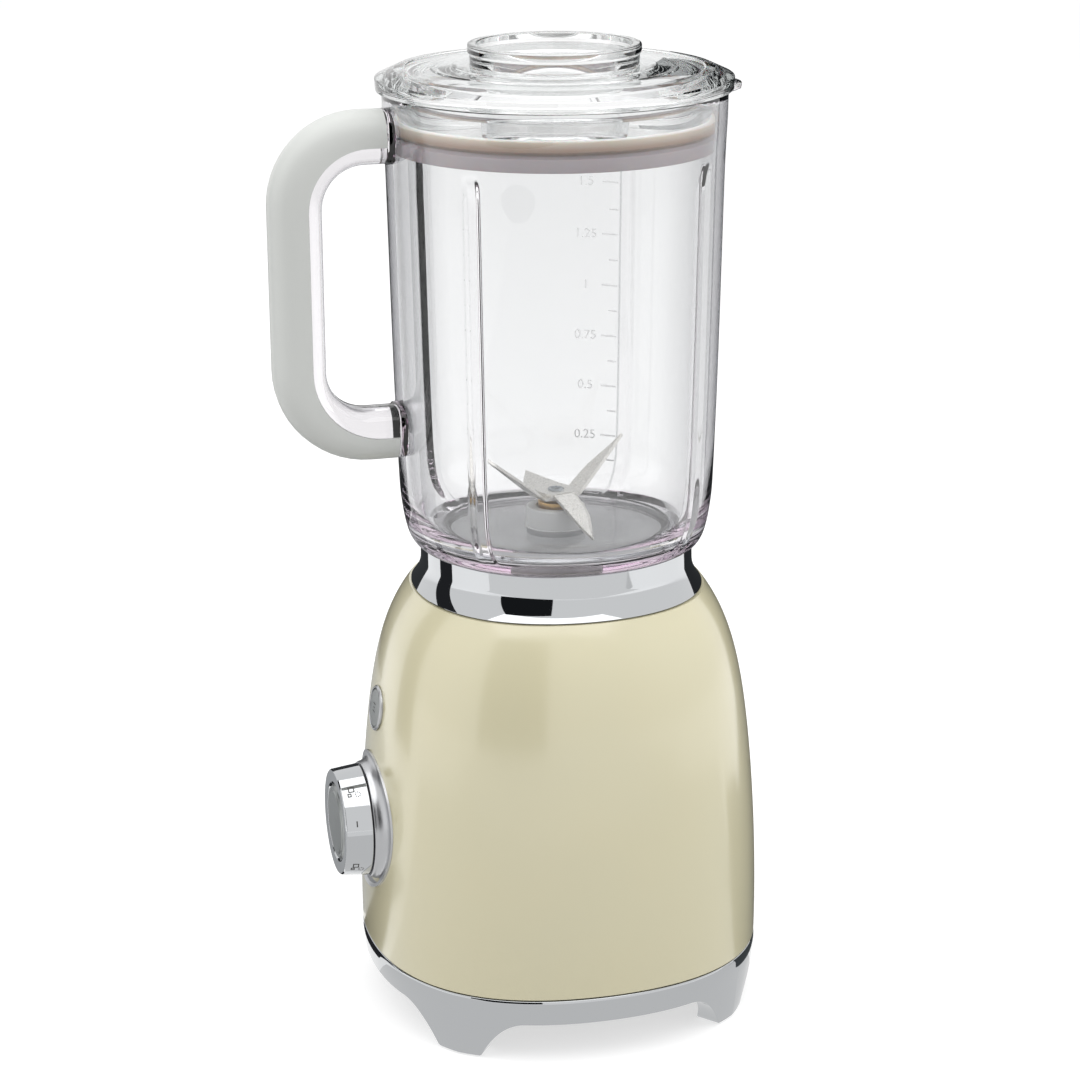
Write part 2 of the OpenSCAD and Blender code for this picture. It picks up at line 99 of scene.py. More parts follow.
HOUSING_HALF = HOUSING_HIGH.x
HOUSING_WIDEST_Z = 44
HOUSING_TAPER = 21.8
HOUSING_WALL = 2.6
HOUSING_NECK_R = 52.2
CORNER_BULGE = 0.05
RING_HALF = 80.6
FOOT_HALF = 78.0
FOOT_WIDTH = 19
FOOT_FLARE = 19
FOOT_Z = 0.8
SKIRT_Z = 17.4
SEAM = 0.7
SEAM_DEPTH = 2.2
KNOB_Z = (KNOB_LOW.z + KNOB_HIGH.z) / 2
KNOB_FRONT = -KNOB_LOW.y
KNOB_DEPTH = 11.6
KNOB_R = 21.2
BUTTON_Z = 130
BUTTON_R = 8.0
BUTTON_TILT = 8
JUG_BULGE = 0.015
JUG_MEAN_R = 61
RIB_DEPTH = 2.8
RIB_WIDTH = 8.4
RIB_SIDE = 2.8
FLOOR_Z = 200.2
HANDLE_REACH = -GRIP_LOW.y
GRIP_WIDTH = GRIP_HIGH.x - GRIP_LOW.x
BLADE_THICK = 1.4
CAMERA_TURN = 73.983


# ---------------------------------------------------------------------------------------------
# Outlines and meshes
# ---------------------------------------------------------------------------------------------

def outline_r(half, bulge, angle):
    """Radius of a rounded-square outline in a direction given in degrees."""
    return half * (1 + bulge * (1 - math.cos(math.radians(4 * angle))) / 2)


def housing_at(z):
    """Half width of the housing's side at a height."""
    t = (z - HOUSING_WIDEST_Z) / (HOUSING_HIGH.z - HOUSING_WIDEST_Z)
    return HOUSING_HALF - HOUSING_TAPER * (0.55 * t ** 2 + 0.45 * t ** 8)


def bulge_at(z):
    """How far the housing's corners stand out at a height, as a share of its half width."""
    return CORNER_BULGE * (1 - 0.3 * (z - HOUSING_LOW.z) / (HOUSING_HIGH.z - HOUSING_LOW.z))


def housing_front_y(x, z):
    """Where the housing's front surface lies at a place across and a height."""
    y = -housing_at(z)
    for _ in range(6):
        r = outline_r(housing_at(z), bulge_at(z), math.degrees(math.atan2(y, x)))
        y = -math.sqrt(max(r * r - x * x, 1))
    return y


def polar(r, angle, z):
    """A point at a radius and a direction in degrees."""
    return (r * math.cos(math.radians(angle)), r * math.sin(math.radians(angle)), z)


def even(count):
    """Directions all the way round, in equal steps."""
    return [i * 360 / count for i in range(count)]


def arc(x, y, r, start, end, steps):
    """Points of an arc in a plane, angles in degrees."""
    angles = [math.radians(start + (end - start) * i / steps) for i in range(steps + 1)]
    return [(x + r * math.cos(a), y + r * math.sin(a)) for a in angles]


def rounded(corners, steps=5):
    """A closed outline through corners (x, y) or (x, y, fillet), each fillet a smooth curve."""
    out = []
    for i, corner in enumerate(corners):
        here = Vector(corner[:2])
        fillet = corner[2] if len(corner) > 2 else 0
        if not fillet:
            out.append(tuple(here))
            continue
        back = Vector(corners[i - 1][:2]) - here
        ahead = Vector(corners[(i + 1) % len(corners)][:2]) - here
        half_turn = back.angle(ahead) / 2
        reach = min(fillet / math.tan(half_turn), 0.49 * back.length, 0.49 * ahead.length)
        a = here + back.normalized() * reach
        b = here + ahead.normalized() * reach
        for k in range(steps + 1):
            t = k / steps
            out.append(tuple(a * (1 - t) ** 2 + here * 2 * t * (1 - t) + b * t ** 2))
    return out


def through(points, per_span):
    """A smooth curve through points, as a Catmull-Rom spline."""
    out = []
    last = len(points) - 1
    for i in range(last):
        p0, p1, p2, p3 = (Vector(points[max(0, min(last, i + k))]) for k in (-1, 0, 1, 2))
        for k in range(per_span):
            t = k / per_span
            out.append(tuple(0.5 * (2 * p1 + (p2 - p0) * t + (2 * p0 - 5 * p1 + 4 * p2 - p3) * t ** 2
                                    + (3 * p1 - p0 - 3 * p2 + p3) * t ** 3)))
    out.append(tuple(points[-1]))
    return out


def loft(rings, closed=False, capped=False):
    """Quads between rings of equal length. Rings that run up the outside face outwards."""
    n = len(rings[0])
    m = len(rings)
    faces = []
    for j in range(m if closed else m - 1):
        up = (j + 1) % m
        for i in range(n):
            on = (i + 1) % n
            faces.append((j * n + i, j * n + on, up * n + on, up * n + i))
    if capped:
        faces.append(tuple(reversed(range(n))))
        faces.append(tuple((m - 1) * n + i for i in range(n)))
    return [p for ring in rings for p in ring], faces


def lathe(profile, count):
    """Turns a closed outline of (radius, height), or one that ends by the axis, round +Z."""
    return loft([[polar(r, a, z) for a in even(count)] for r, z in profile], closed=True)


def squarish(value, power):
    """Draws a sine or cosine out towards 1, which makes an oval squarer."""
    return math.copysign(abs(value) ** power, value)


def place(point):
    """From maker's millimetres to the row frame's metres."""
    return (point[0] * MM, point[1] * MM + AXIS_Y, point[2] * MM)


def finish_mesh(mesh, sharp):
    """Merges doubled points, makes the normals consistent and smooths all but the sharp edges."""
    work = bmesh.new()
    work.from_mesh(mesh)
    bmesh.ops.remove_doubles(work, verts=work.verts, dist=2e-6)
    bmesh.ops.dissolve_degenerate(work, dist=1e-6, edges=work.edges)
    bmesh.ops.recalc_face_normals(work, faces=work.faces)
    work.to_mesh(mesh)
    work.free()
    mesh.shade_smooth()
    mesh.set_sharp_from_angle(angle=math.radians(sharp))


def make_piece(name, shape, body, material, stands_for=(), sharp=35, turn=None):
    """Adds a piece from (points, faces) in maker's millimetres, or from several such shapes."""
    shapes = shape if isinstance(shape, list) else [shape]
    points, faces = [], []
    for part_points, part_faces in shapes:
        start = len(points)
        if turn:
            part_points = [turn(p) for p in part_points]
        points += [place(p) for p in part_points]
        faces += [tuple(start + i for i in face) for face in part_faces]
    mesh = bpy.data.meshes.new(name)
    mesh.from_pydata(points, [], faces)
    finish_mesh(mesh, sharp)
    piece = bpy.data.objects.new(name, mesh)
    bpy.context.collection.objects.link(piece)
    piece.data.materials.append(material)
    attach(piece, body)
    if stands_for:
        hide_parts(*stands_for)
    return piece


def let_light_through(piece):
    """Clear plastic lights what is inside it, and throws no shadow of its own."""
    piece.visible_shadow = False


def soften(piece, width, angle):
    """A small bevel on the edges sharper than angle, as casting and polishing leave them."""
    bevel = piece.modifiers.new("soft_edges", "BEVEL")
    bevel.width = width * MM
    bevel.segments = 3
    bevel.limit_method = "ANGLE"
    bevel.angle_limit = math.radians(angle)


def knob_turn(point):
    """Turns a shape built round +Z so that it points out of the front at the knob's height."""
    x, up, out = point
    return (x, -out, up + KNOB_Z)


def button_turn(point):
    """The same for the pulse button, which stands square to the sloping housing."""
    tilt = math.radians(BUTTON_TILT)
    x, up, out = point
    y = -housing_at(BUTTON_Z) - out * math.cos(tilt) + up * math.sin(tilt)
    return (x, y, BUTTON_Z + up * math.cos(tilt) + out * math.sin(tilt))


# ---------------------------------------------------------------------------------------------
# Materials
# ---------------------------------------------------------------------------------------------

def linear(hex_colour):
    """sRGB hex to linear RGBA."""
    channels = [int(hex_colour[i:i + 2], 16) / 255 for i in (1, 3, 5)]
    lin = [c / 12.92 if c <= 0.04045 else ((c + 0.055) / 1.055) ** 2.4 for c in channels]
    return (*lin, 1.0)


def add_node(tree, kind, inputs=None, **settings):
    """Adds a node. inputs sets its sockets by name; a value that is itself a socket is linked."""
    made = tree.nodes.new(kind)
    for key, value in settings.items():
        setattr(made, key, value)
    for key, value in (inputs or {}).items():
        if isinstance(value, bpy.types.NodeSocket):
            tree.links.new(value, made.inputs[key])
        else:
            made.inputs[key].default_value = value
    return made


def start_material(name, **sockets):
    """A new material, its node tree, its shader, and object coordinates in metres."""
    material = bpy.data.materials.new(name)
    material.use_nodes = True
    tree = material.node_tree
    tree.nodes.clear()
    shader = add_node(tree, "ShaderNodeBsdfPrincipled",
                      {key.replace("_", " "): value for key, value in sockets.items()})
    output = add_node(tree, "ShaderNodeOutputMaterial", {"Surface": shader.outputs[0]})
    where = add_node(tree, "ShaderNodeTexCoord").outputs["Object"]
    return material, tree, shader, where, output


def grain(tree, where, size_mm, detail=3.0, stretch=(1, 1, 1)):
    """Noise whose grains are about size_mm across."""
    scaled = add_node(tree, "ShaderNodeMapping", {"Vector": where, "Scale": stretch})
    noise = add_node(tree, "ShaderNodeTexNoise",
                     {"Vector": scaled.outputs[0], "Scale": 1 / (size_mm * MM), "Detail": detail})
    return noise.outputs["Fac"]


def wave_scale(period_mm):
    """Scale at which a Wave texture repeats every period_mm."""
    return math.tau / 20 / (period_mm * MM)


def rough_between(tree, shader, factor, low, high):
    """Lets the roughness wander between two values with a pattern."""
    spread = add_node(tree, "ShaderNodeMapRange", {"Value": factor, "To Min": low, "To Max": high})
    tree.links.new(spread.outputs[0], shader.inputs["Roughness"])


def colour_between(tree, shader, factor, first, second):
    """Lets the colour wander between two tones with a pattern."""
    mix = add_node(tree, "ShaderNodeMix", data_type="RGBA")
    tree.links.new(factor, mix.inputs["Factor"])
    mix.inputs[6].default_value = first
    mix.inputs[7].default_value = second
    tree.links.new(mix.outputs[2], shader.inputs["Base Color"])


def bump(tree, shader, height, depth_mm, socket="Normal"):
    """Lets the surface rise with a pattern, by up to depth_mm."""
    relief = add_node(tree, "ShaderNodeBump", {"Height": height, "Distance": depth_mm * MM})
    tree.links.new(relief.outputs[0], shader.inputs[socket])


def enamel_cream(colour):
    """Baked gloss enamel, sprayed on die-cast aluminium: deep gloss with a very faint orange peel."""
    material, tree, shader, where, _ = start_material(
        "enamel_cream", Base_Color=colour, Roughness=0.3, IOR=1.5,
        Coat_Weight=1.0, Coat_Roughness=0.15, Coat_IOR=1.65)
    tone = grain(tree, where, 40, 2)
    warmer = tuple(c * k for c, k in zip(colour[:3], (1.015, 1.0, 0.975))) + (1,)
    cooler = tuple(c * k for c, k in zip(colour[:3], (0.985, 0.99, 1.0))) + (1,)
    colour_between(tree, shader, tone, cooler, warmer)
    bump(tree, shader, grain(tree, where, 3.5, 1), 0.01, socket="Coat Normal")
    rough_between(tree, shader, grain(tree, where, 8), 0.26, 0.34)
    return material


def chromium_plate():
    """Chromium plate on polished casting: a mirror with hardly visible hazing."""
    material, tree, shader, where, _ = start_material(
        "chromium_plate", Base_Color=linear("#C3C5C7"), Metallic=1.0, Roughness=0.03)
    rough_between(tree, shader, grain(tree, where, 12), 0.015, 0.05)
    bump(tree, shader, grain(tree, where, 22, 1), 0.006)
    return material


def satin_silver():
    """Satin chrome on moulded ABS: soft wide highlights, as bead blasting leaves.

    The pits are about 0.1 mm across, too fine to show, and are drawn at 0.5 mm."""
    material, tree, shader, where, _ = start_material(
        "satin_silver", Base_Color=linear("#C3C4C6"), Metallic=1.0, Roughness=0.3)
    rough_between(tree, shader, grain(tree, where, 1.2), 0.26, 0.36)
    bump(tree, shader, grain(tree, where, 0.5), 0.004)
    return material


def turned_silver(axis_z):
    """Aluminium disc turned on a lathe: a sheen that runs in fine rings round its axis.

    The rings are about 0.1 mm apart, too fine to show, and are drawn at 0.6 mm."""
    material, tree, shader, where, _ = start_material(
        "turned_silver", Base_Color=linear("#A6A9A8"), Metallic=1.0, Roughness=0.34)
    centred = add_node(tree, "ShaderNodeMapping", {"Vector": where, "Location": (0, 0, -axis_z * MM)})
    rings = add_node(tree, "ShaderNodeTexWave",
                     {"Vector": centred.outputs[0], "Scale": wave_scale(0.6), "Distortion": 0.2},
                     wave_type="RINGS", rings_direction="Y").outputs["Fac"]
    rough_between(tree, shader, rings, 0.3, 0.42)
    bump(tree, shader, rings, 0.006)
    return material


def clear_copolyester(tint, surface="#EFF0F0", edge="#84868A", density=11.0):
    """Injection-moulded clear copolyester, polished, tinted where light runs far in it. Its colour is
    painted darker grey where it is seen edge-on: a painted reflection of dark surroundings at its edges and
    rib sides.
    """
    material, tree, shader, where, output = start_material(
        "clear_copolyester", Base_Color=linear(surface), Roughness=0.0, IOR=1.53, Transmission_Weight=1.0)
    absorption = add_node(tree, "ShaderNodeVolumeAbsorption", {"Color": tint, "Density": density})
    tree.links.new(absorption.outputs[0], output.inputs["Volume"])
    # Painted reflection: the colour goes from surface towards the darker edge grey as the surface turns
    # edge-on. It stands in for dark surroundings mirrored at the edges and the ribs' sides.
    facing = add_node(tree, "ShaderNodeLayerWeight", {"Blend": 0.5}).outputs["Facing"]
    slant = add_node(tree, "ShaderNodeMapRange", {"Value": facing, "From Min": 0.25, "From Max": 0.85})
    colour_between(tree, shader, slant.outputs[0], linear(surface), linear(edge))
    bump(tree, shader, grain(tree, where, 40, 1), 0.008)
    return material


def lid_copolyester():
    """The lid and its cap are moulded from the same copolyester without the rose tint."""
    # The paler edge grey here is the same painted reflection, weaker on the lid and cap.
    return clear_copolyester((0.84, 0.88, 0.87, 1.0), "#FBFBFB", "#C6CACA", 6.0)


def silicone_seal():
    """Compression-moulded silicone: matte and slightly translucent, its colour painted with light and shade
    by height: lilac-grey below, a dark band at the middle and pale tan at the top.
    """
    material, tree, shader, where, _ = start_material(
        "silicone_seal", Base_Color=linear("#B5A59B"), Roughness=0.5, IOR=1.41,
        Subsurface_Weight=0.3, Subsurface_Scale=0.004)
    # Painted light and shade: the colour is set by height on the seal. It is lilac-grey below, darkest in a
    # band at the middle and palest at the top.
    height = add_node(tree, "ShaderNodeSeparateXYZ", {"Vector": where}).outputs["Z"]
    low, high = node_box("lid_gasket")
    rise = add_node(tree, "ShaderNodeMapRange",
                    {"Value": height, "From Min": low.z * MM, "From Max": high.z * MM})
    painted_shade_by_height = add_node(tree, "ShaderNodeValToRGB", {"Fac": rise.outputs[0]})
    painted_light_tones = ((0.0, "#9F979A"), (0.5, "#A89FA3"), (0.56, "#7C685A"), (0.72, "#A08877"), (0.95, "#CFC7B8"))
    for stop, tone in painted_light_tones:
        entry = painted_shade_by_height.color_ramp.elements.new(stop)
        entry.color = linear(tone)
    tree.links.new(painted_shade_by_height.outputs["Color"], shader.inputs["Base Color"])
    bump(tree, shader, grain(tree, where, 1.5), 0.01)
    return material


def grip_plastic(colour):
    """ABS grip, moulded in a finely sparked tool: satin, with a soft uneven sheen.

    The spark marks are about 0.1 mm across, too fine to show, and are drawn at 0.5 mm."""
    material, tree, shader, where, _ = start_material(
        "grip_plastic", Base_Color=colour, Roughness=0.38, IOR=1.5)
    rough_between(tree, shader, grain(tree, where, 6), 0.32, 0.44)
    bump(tree, shader, grain(tree, where, 0.5), 0.004)
    return material


def carrier_plastic(darker="#BDBEBE", lighter="#C9CACA"):
    """Glass-filled polypropylene: matte grey with a faint flow of fibres."""
    material, tree, shader, where, _ = start_material(
        "carrier_plastic", Base_Color=linear(darker), Roughness=0.5, IOR=1.5)
    tone = grain(tree, where, 5, stretch=(1, 1, 0.2))
    colour_between(tree, shader, tone, linear(darker), linear(lighter))
    bump(tree, shader, grain(tree, where, 0.8), 0.01)
    return material


def black_plastic():
    """Black ABS, moulded with a spark-eroded grain of about 0.4 mm."""
    material, tree, shader, where, _ = start_material(
        "black_plastic", Base_Color=linear("#2B2C2E"), Roughness=0.45, IOR=1.5)
    rough_between(tree, shader, grain(tree, where, 4), 0.4, 0.52)
    bump(tree, shader, grain(tree, where, 0.4), 0.02)
    return material


def black_rubber():
    """Moulded rubber: black, dull, with a dusting of lighter bloom."""
    material, tree, shader, where, _ = start_material(
        "black_rubber", Base_Color=linear("#26272A"), Roughness=0.75, IOR=1.5)
    colour_between(tree, shader, grain(tree, where, 3), linear("#222326"), linear("#323336"))
    bump(tree, shader, grain(tree, where, 0.6), 0.03)
    return material


def ground_steel():
    """Stainless blade strip: rolled, then ground across, with lines about 0.3 mm apart."""
    material, tree, shader, where, _ = start_material(
        "ground_steel", Base_Color=linear("#D6D4D0"), Metallic=1.0, Roughness=0.26)
    lines = grain(tree, where, 2.4, 4, stretch=(1, 8, 8))
    rough_between(tree, shader, lines, 0.2, 0.36)
    bump(tree, shader, lines, 0.01)
    return material


def turned_steel():
    """Turned steel for shafts and screws: bright, with fine lines round it."""
    material, tree, shader, where, _ = start_material(
        "turned_steel", Base_Color=linear("#B4B6B8"), Metallic=1.0, Roughness=0.25)
    lines = grain(tree, where, 3, 3, stretch=(1, 1, 8))
    rough_between(tree, shader, lines, 0.18, 0.34)
    bump(tree, shader, lines, 0.008)
    return material


def plated_sheet():
    """Zinc-plated steel sheet: grey with a mottled spangle a few millimetres across."""
    material, tree, shader, where, _ = start_material(
        "plated_sheet", Base_Color=linear("#9A9EA2"), Metallic=1.0, Roughness=0.4)
    cells = add_node(tree, "ShaderNodeTexVoronoi", {"Vector": where, "Scale": 1 / (4 * MM)})
    tone = add_node(tree, "ShaderNodeSeparateColor", {"Color": cells.outputs["Color"]}).outputs[0]
    colour_between(tree, shader, tone, linear("#8E9296"), linear("#A6AAAE"))
    rough_between(tree, shader, tone, 0.34, 0.5)
    return material


def turned_brass():
    """Brass turned on a lathe: warm, with a slightly tarnished mottle."""
    material, tree, shader, where, _ = start_material(
        "turned_brass", Base_Color=linear("#C9A468"), Metallic=1.0, Roughness=0.28)
    colour_between(tree, shader, grain(tree, where, 2), linear("#B8925A"), linear("#D6B57E"))
    bump(tree, shader, grain(tree, where, 2, 3, (1, 1, 8)), 0.008)
    return material


def wound_copper():
    """Enamelled copper wire: reddish, with turns of about 0.7 mm."""
    material, tree, shader, where, _ = start_material(
        "wound_copper", Base_Color=linear("#B06A3A"), Metallic=1.0, Roughness=0.3)
    turns = add_node(tree, "ShaderNodeTexWave",
                     {"Vector": where, "Scale": wave_scale(0.7), "Distortion": 1.0},
                     bands_direction="Z").outputs["Fac"]
    colour_between(tree, shader, turns, linear("#8C4A24"), linear("#C27B46"))
    bump(tree, shader, turns, 0.15)
    return material


def pressed_carbon():
    """Pressed carbon: near black, dusty."""
    material, tree, shader, where, _ = start_material(
        "pressed_carbon", Base_Color=linear("#1C1C1D"), Roughness=0.7, IOR=1.5)
    colour_between(tree, shader, grain(tree, where, 0.8), linear("#161617"), linear("#2A2A2B"))
    return material


def board_lacquer():
    """Glass-fibre board under green solder lacquer, with the weave of the cloth showing at 1 mm."""
    material, tree, shader, where, _ = start_material(
        "board_lacquer", Base_Color=linear("#2B6A3C"), Roughness=0.3, IOR=1.5)
    weave = add_node(tree, "ShaderNodeTexChecker", {"Vector": where, "Scale": 1 / (1 * MM)}).outputs["Fac"]
    colour_between(tree, shader, weave, linear("#275F36"), linear("#2F7342"))
    return material


def white_plastic():
    """Acetal: white, waxy."""
    material, tree, shader, where, _ = start_material(
        "white_plastic", Base_Color=linear("#E2E2DE"), Roughness=0.4, IOR=1.48, Subsurface_Weight=0.1,
        Subsurface_Scale=0.002)
    rough_between(tree, shader, grain(tree, where, 3), 0.36, 0.46)
    return material


def printed_ink(name, colour):
    """Pad-printed ink: flat and thin, a little uneven at its edges."""
    material, tree, shader, where, _ = start_material(name, Base_Color=colour, Roughness=0.55, IOR=1.5)
    rough_between(tree, shader, grain(tree, where, 0.6), 0.5, 0.65)
    return material


def floor_white():
    """Matte white sweep. What looks at it directly sees it near white, with the shadow kept."""
    material = bpy.data.materials.new("floor_white")
    material.use_nodes = True
    tree = material.node_tree
    tree.nodes.clear()
    lit = add_node(tree, "ShaderNodeBsdfDiffuse", {"Color": (0.5, 0.5, 0.5, 1)})
    glow = add_node(tree, "ShaderNodeEmission",
                    {"Color": (1, 1, 1, 1), "Strength": seen_directly(tree, 0.62, 0.0)})
    both = add_node(tree, "ShaderNodeAddShader")
    tree.links.new(lit.outputs[0], both.inputs[0])
    tree.links.new(glow.outputs[0], both.inputs[1])
    add_node(tree, "ShaderNodeOutputMaterial", {"Surface": both.outputs[0]})
    return material


def seen_directly(tree, seen, unseen):
    """A value: seen for camera, mirror and glass rays, and unseen for the light that falls on things."""
    rays = add_node(tree, "ShaderNodeLightPath")
    direct = rays.outputs["Is Camera Ray"]
    for kind in ("Is Glossy Ray", "Is Transmission Ray"):
        direct = add_node(tree, "ShaderNodeMath", {0: direct, 1: rays.outputs[kind]},
                          operation="MAXIMUM").outputs[0]
    return add_node(tree, "ShaderNodeMapRange",
                    {"Value": direct, "To Min": unseen, "To Max": seen}).outputs[0]


# ---------------------------------------------------------------------------------------------
# Pieces
# ---------------------------------------------------------------------------------------------

def build_housing(looks):
    """Die-cast shell: a rounded square that narrows upwards, with a bore for the pulse button."""
    steps = 46
    rise = HOUSING_HIGH.z - HOUSING_LOW.z
    heights = [HOUSING_LOW.z + rise * (1 - (1 - i / steps) ** 1.35) for i in range(steps + 1)]
    angles = even(240)
    outer = [[polar(outline_r(housing_at(z), bulge_at(z), a), a, z) for a in angles] for z in heights]
    inner = [[polar(outline_r(housing_at(min(z + 3, HOUSING_HIGH.z)) - HOUSING_WALL, bulge_at(z), a), a, z)
              for a in angles] for z in reversed(heights[:-4:3])]
    neck = [[polar(HOUSING_NECK_R, a, z) for a in angles] for z in (HOUSING_HIGH.z, HOUSING_HIGH.z - 3)]
    shell = make_piece("housing_shell", loft(outer + neck + inner, closed=True), "base",
                       enamel_cream(looks.enamel), ["motor_housing"], sharp=50)
    play = 0.4
    behind_wall, before_wall = -12, 10
    bore = [[polar(BUTTON_R + play, a, out) for a in even(96)] for out in (behind_wall, before_wall)]
    cutter = make_piece("button_bore", loft(bore, capped=True), "base", shell.data.materials[0],
                        turn=button_turn)
    merge_into(shell, cutter, "DIFFERENCE")
    soften(shell, 0.5, 60)


def build_collar():
    """Concave plated ring that holds the jug: it flares out to the housing, and is rounder at its top."""
    low, top = COLLAR_LOW.z, COLLAR_HIGH.z
    step = 0.5
    foot_r, neck_r, bore_r = 57.0, 54.9, 49.1
    flare, flare_height = 4.5, 11
    rise = [i * step for i in range(1, int((top - low) / step))] + [top - low]
    wall = [(foot_r, low), (foot_r, low + step)]
    wall += [(neck_r + flare * max(0, 1 - h / flare_height) ** 2.2, low + h) for h in rise]
    rings = []
    for r, z in wall:
        bulge = 0.03 - 0.0008 * (z - low)
        rings.append([polar(outline_r(r, bulge, a), a, z) for a in even(240)])
    for z in (top, low + 0.2):
        rings.append([polar(bore_r, a, z) for a in even(240)])
    collar = make_piece("chrome_collar", loft(rings, closed=True), "base", chromium_plate(), ["collar"])
    soften(collar, 0.4, 60)


def skirt_bottom(angle):
    """Lowest height of the base ring in a direction, and how far it is to the nearest foot's middle."""
    girth_r = 80
    run = math.radians(abs((angle % 90) - 45)) * girth_r
    share = min(1.0, max(0.0, run - FOOT_WIDTH / 2) / FOOT_FLARE)
    return FOOT_Z + (SKIRT_Z - FOOT_Z) * (1 - (1 - share) ** 2.2), run


def ring_half(z, top):
    """Half width of the base ring's outside: feet that spread upwards into a rounded band."""
    if z <= SKIRT_Z:
        return FOOT_HALF + (RING_HALF - FOOT_HALF) * ((z - FOOT_Z) / (SKIRT_Z - FOOT_Z)) ** 0.8
    swell, swell_height = 0.75, 8
    tuck, tuck_from = 0.45, 26
    half = RING_HALF + swell * math.sin(math.pi / 2 * min(1, (z - SKIRT_Z) / swell_height))
    return half - tuck * max(0, (z - tuck_from) / (top - tuck_from)) ** 2


def build_base_ring():
    """Plated ring whose lower edge swings down into four feet, with a shadow gap under the housing."""
    angles = even(720)
    top = HOUSING_LOW.z - SEAM
    rows = []
    outside_rows, inside_rows = 20, 6
    lip_half, inside_half, foot_thicker = 80.4, 74, 6
    crease_half, crease_top = FOOT_WIDTH / 2 + 3, 24
    for k in range(outside_rows):
        ring = []
        for a in angles:
            bottom, run = skirt_bottom(a)
            z = bottom + (top - bottom) * (k / (outside_rows - 1)) ** 0.9
            crease = max(0, 1 - run / crease_half) * max(0, 1 - z / crease_top)
            ring.append(polar(outline_r(ring_half(z, top), CORNER_BULGE, a) + crease, a, z))
        rows.append(ring)
    for z in (top, HOUSING_LOW.z):
        rows.append([polar(outline_r(lip_half - SEAM_DEPTH, CORNER_BULGE, a), a, z) for a in angles])
    for k in range(inside_rows):
        ring = []
        for a in angles:
            bottom, _ = skirt_bottom(a)
            z = HOUSING_LOW.z + (bottom - HOUSING_LOW.z) * k / (inside_rows - 1)
            foot = 1 - (bottom - FOOT_Z) / (SKIRT_Z - FOOT_Z)
            half = inside_half - foot_thicker * foot * (1 - 0.5 * (z - FOOT_Z) / (top - FOOT_Z))
            ring.append(polar(outline_r(half, CORNER_BULGE, a), a, z))
        rows.append(ring)
    ring = make_piece("chrome_base_ring", loft(rows, closed=True), "base", chromium_plate(), ["base_ring"],
                      sharp=28)
    soften(ring, 0.5, 40)


def build_feet():
    """A rubber disc under each of the base ring's feet."""
    corner_r, pad_r, pad_height = 76.7, 4.4, 2.4
    profile = rounded([(0.01, 0.0), (pad_r, 0.0, 0.5), (pad_r, pad_height), (0.01, pad_height)])
    points, faces = lathe(profile, 40)
    pads = []
    for corner in (45, 135, 225, 315):
        shift_x, shift_y, _ = polar(corner_r, corner, 0)
        pads.append(([(x + shift_x, y + shift_y, z) for x, y, z in points], faces))
    make_piece("foot_pad_discs", pads, "base", black_rubber(), ["foot_pads"])


def build_knob():
    """Plated speed knob on its stem, with a turned disc let into its face."""
    back = KNOB_FRONT - KNOB_DEPTH
    recess = KNOB_FRONT - 1.9
    stem_r, stem_back = 3, 63.4
    profile = rounded([
        (0.01, stem_back), (stem_r, stem_back, 0.3), (stem_r, back + 1.4), (KNOB_R + 0.4, back + 1.4),
        (KNOB_R + 0.6, back + 0.4, 0.3), (KNOB_R + 1.9, back + 0.4, 0.4),
        (KNOB_R + 0.6, KNOB_FRONT - 0.6, 0.3), (KNOB_R + 0.1, KNOB_FRONT - 0.1, 0.3),
        (16.6, KNOB_FRONT - 0.3, 0.4), (15.8, recess, 0.2), (0.01, recess)], 6)
    make_piece("speed_knob", lathe(profile, 200), "speed_knob", chromium_plate(), ["knob"],
               turn=knob_turn)
    insert = rounded([
        (0.01, recess), (15.5, recess), (15.5, KNOB_FRONT - 0.9, 0.3),
        (14.5, KNOB_FRONT - 0.1, 0.5), (13.6, KNOB_FRONT - 0.3, 0.3), (13.2, KNOB_FRONT - 0.3, 0.2),
        (12.6, KNOB_FRONT + 0.1, 0.4), (0.01, KNOB_FRONT + 0.2)], 4)
    make_piece("knob_face_insert", lathe(insert, 160), "speed_knob", turned_silver(KNOB_Z), ["knob_insert"],
               turn=knob_turn)
    build_knob_marks()


def knob_patch(angle, along, width, length):
    """A thin raised patch on the knob's side, angle in degrees from its top, along from its front."""
    front_r, taper, taper_length, lift = KNOB_R + 0.55, 1.3, 11.0, 0.05
    steps = 4
    points = []
    for side in (0, 1):
        out = along + side * length
        r = front_r + taper * (out / taper_length) + lift
        for i in range(steps + 1):
            a = angle + (i / steps - 0.5) * math.degrees(width / r)
            points.append((r * math.sin(math.radians(a)), r * math.cos(math.radians(a)), KNOB_FRONT - out))
    faces = [(i, i + 1, steps + 2 + i, steps + 1 + i) for i in range(steps)]
    return points, faces


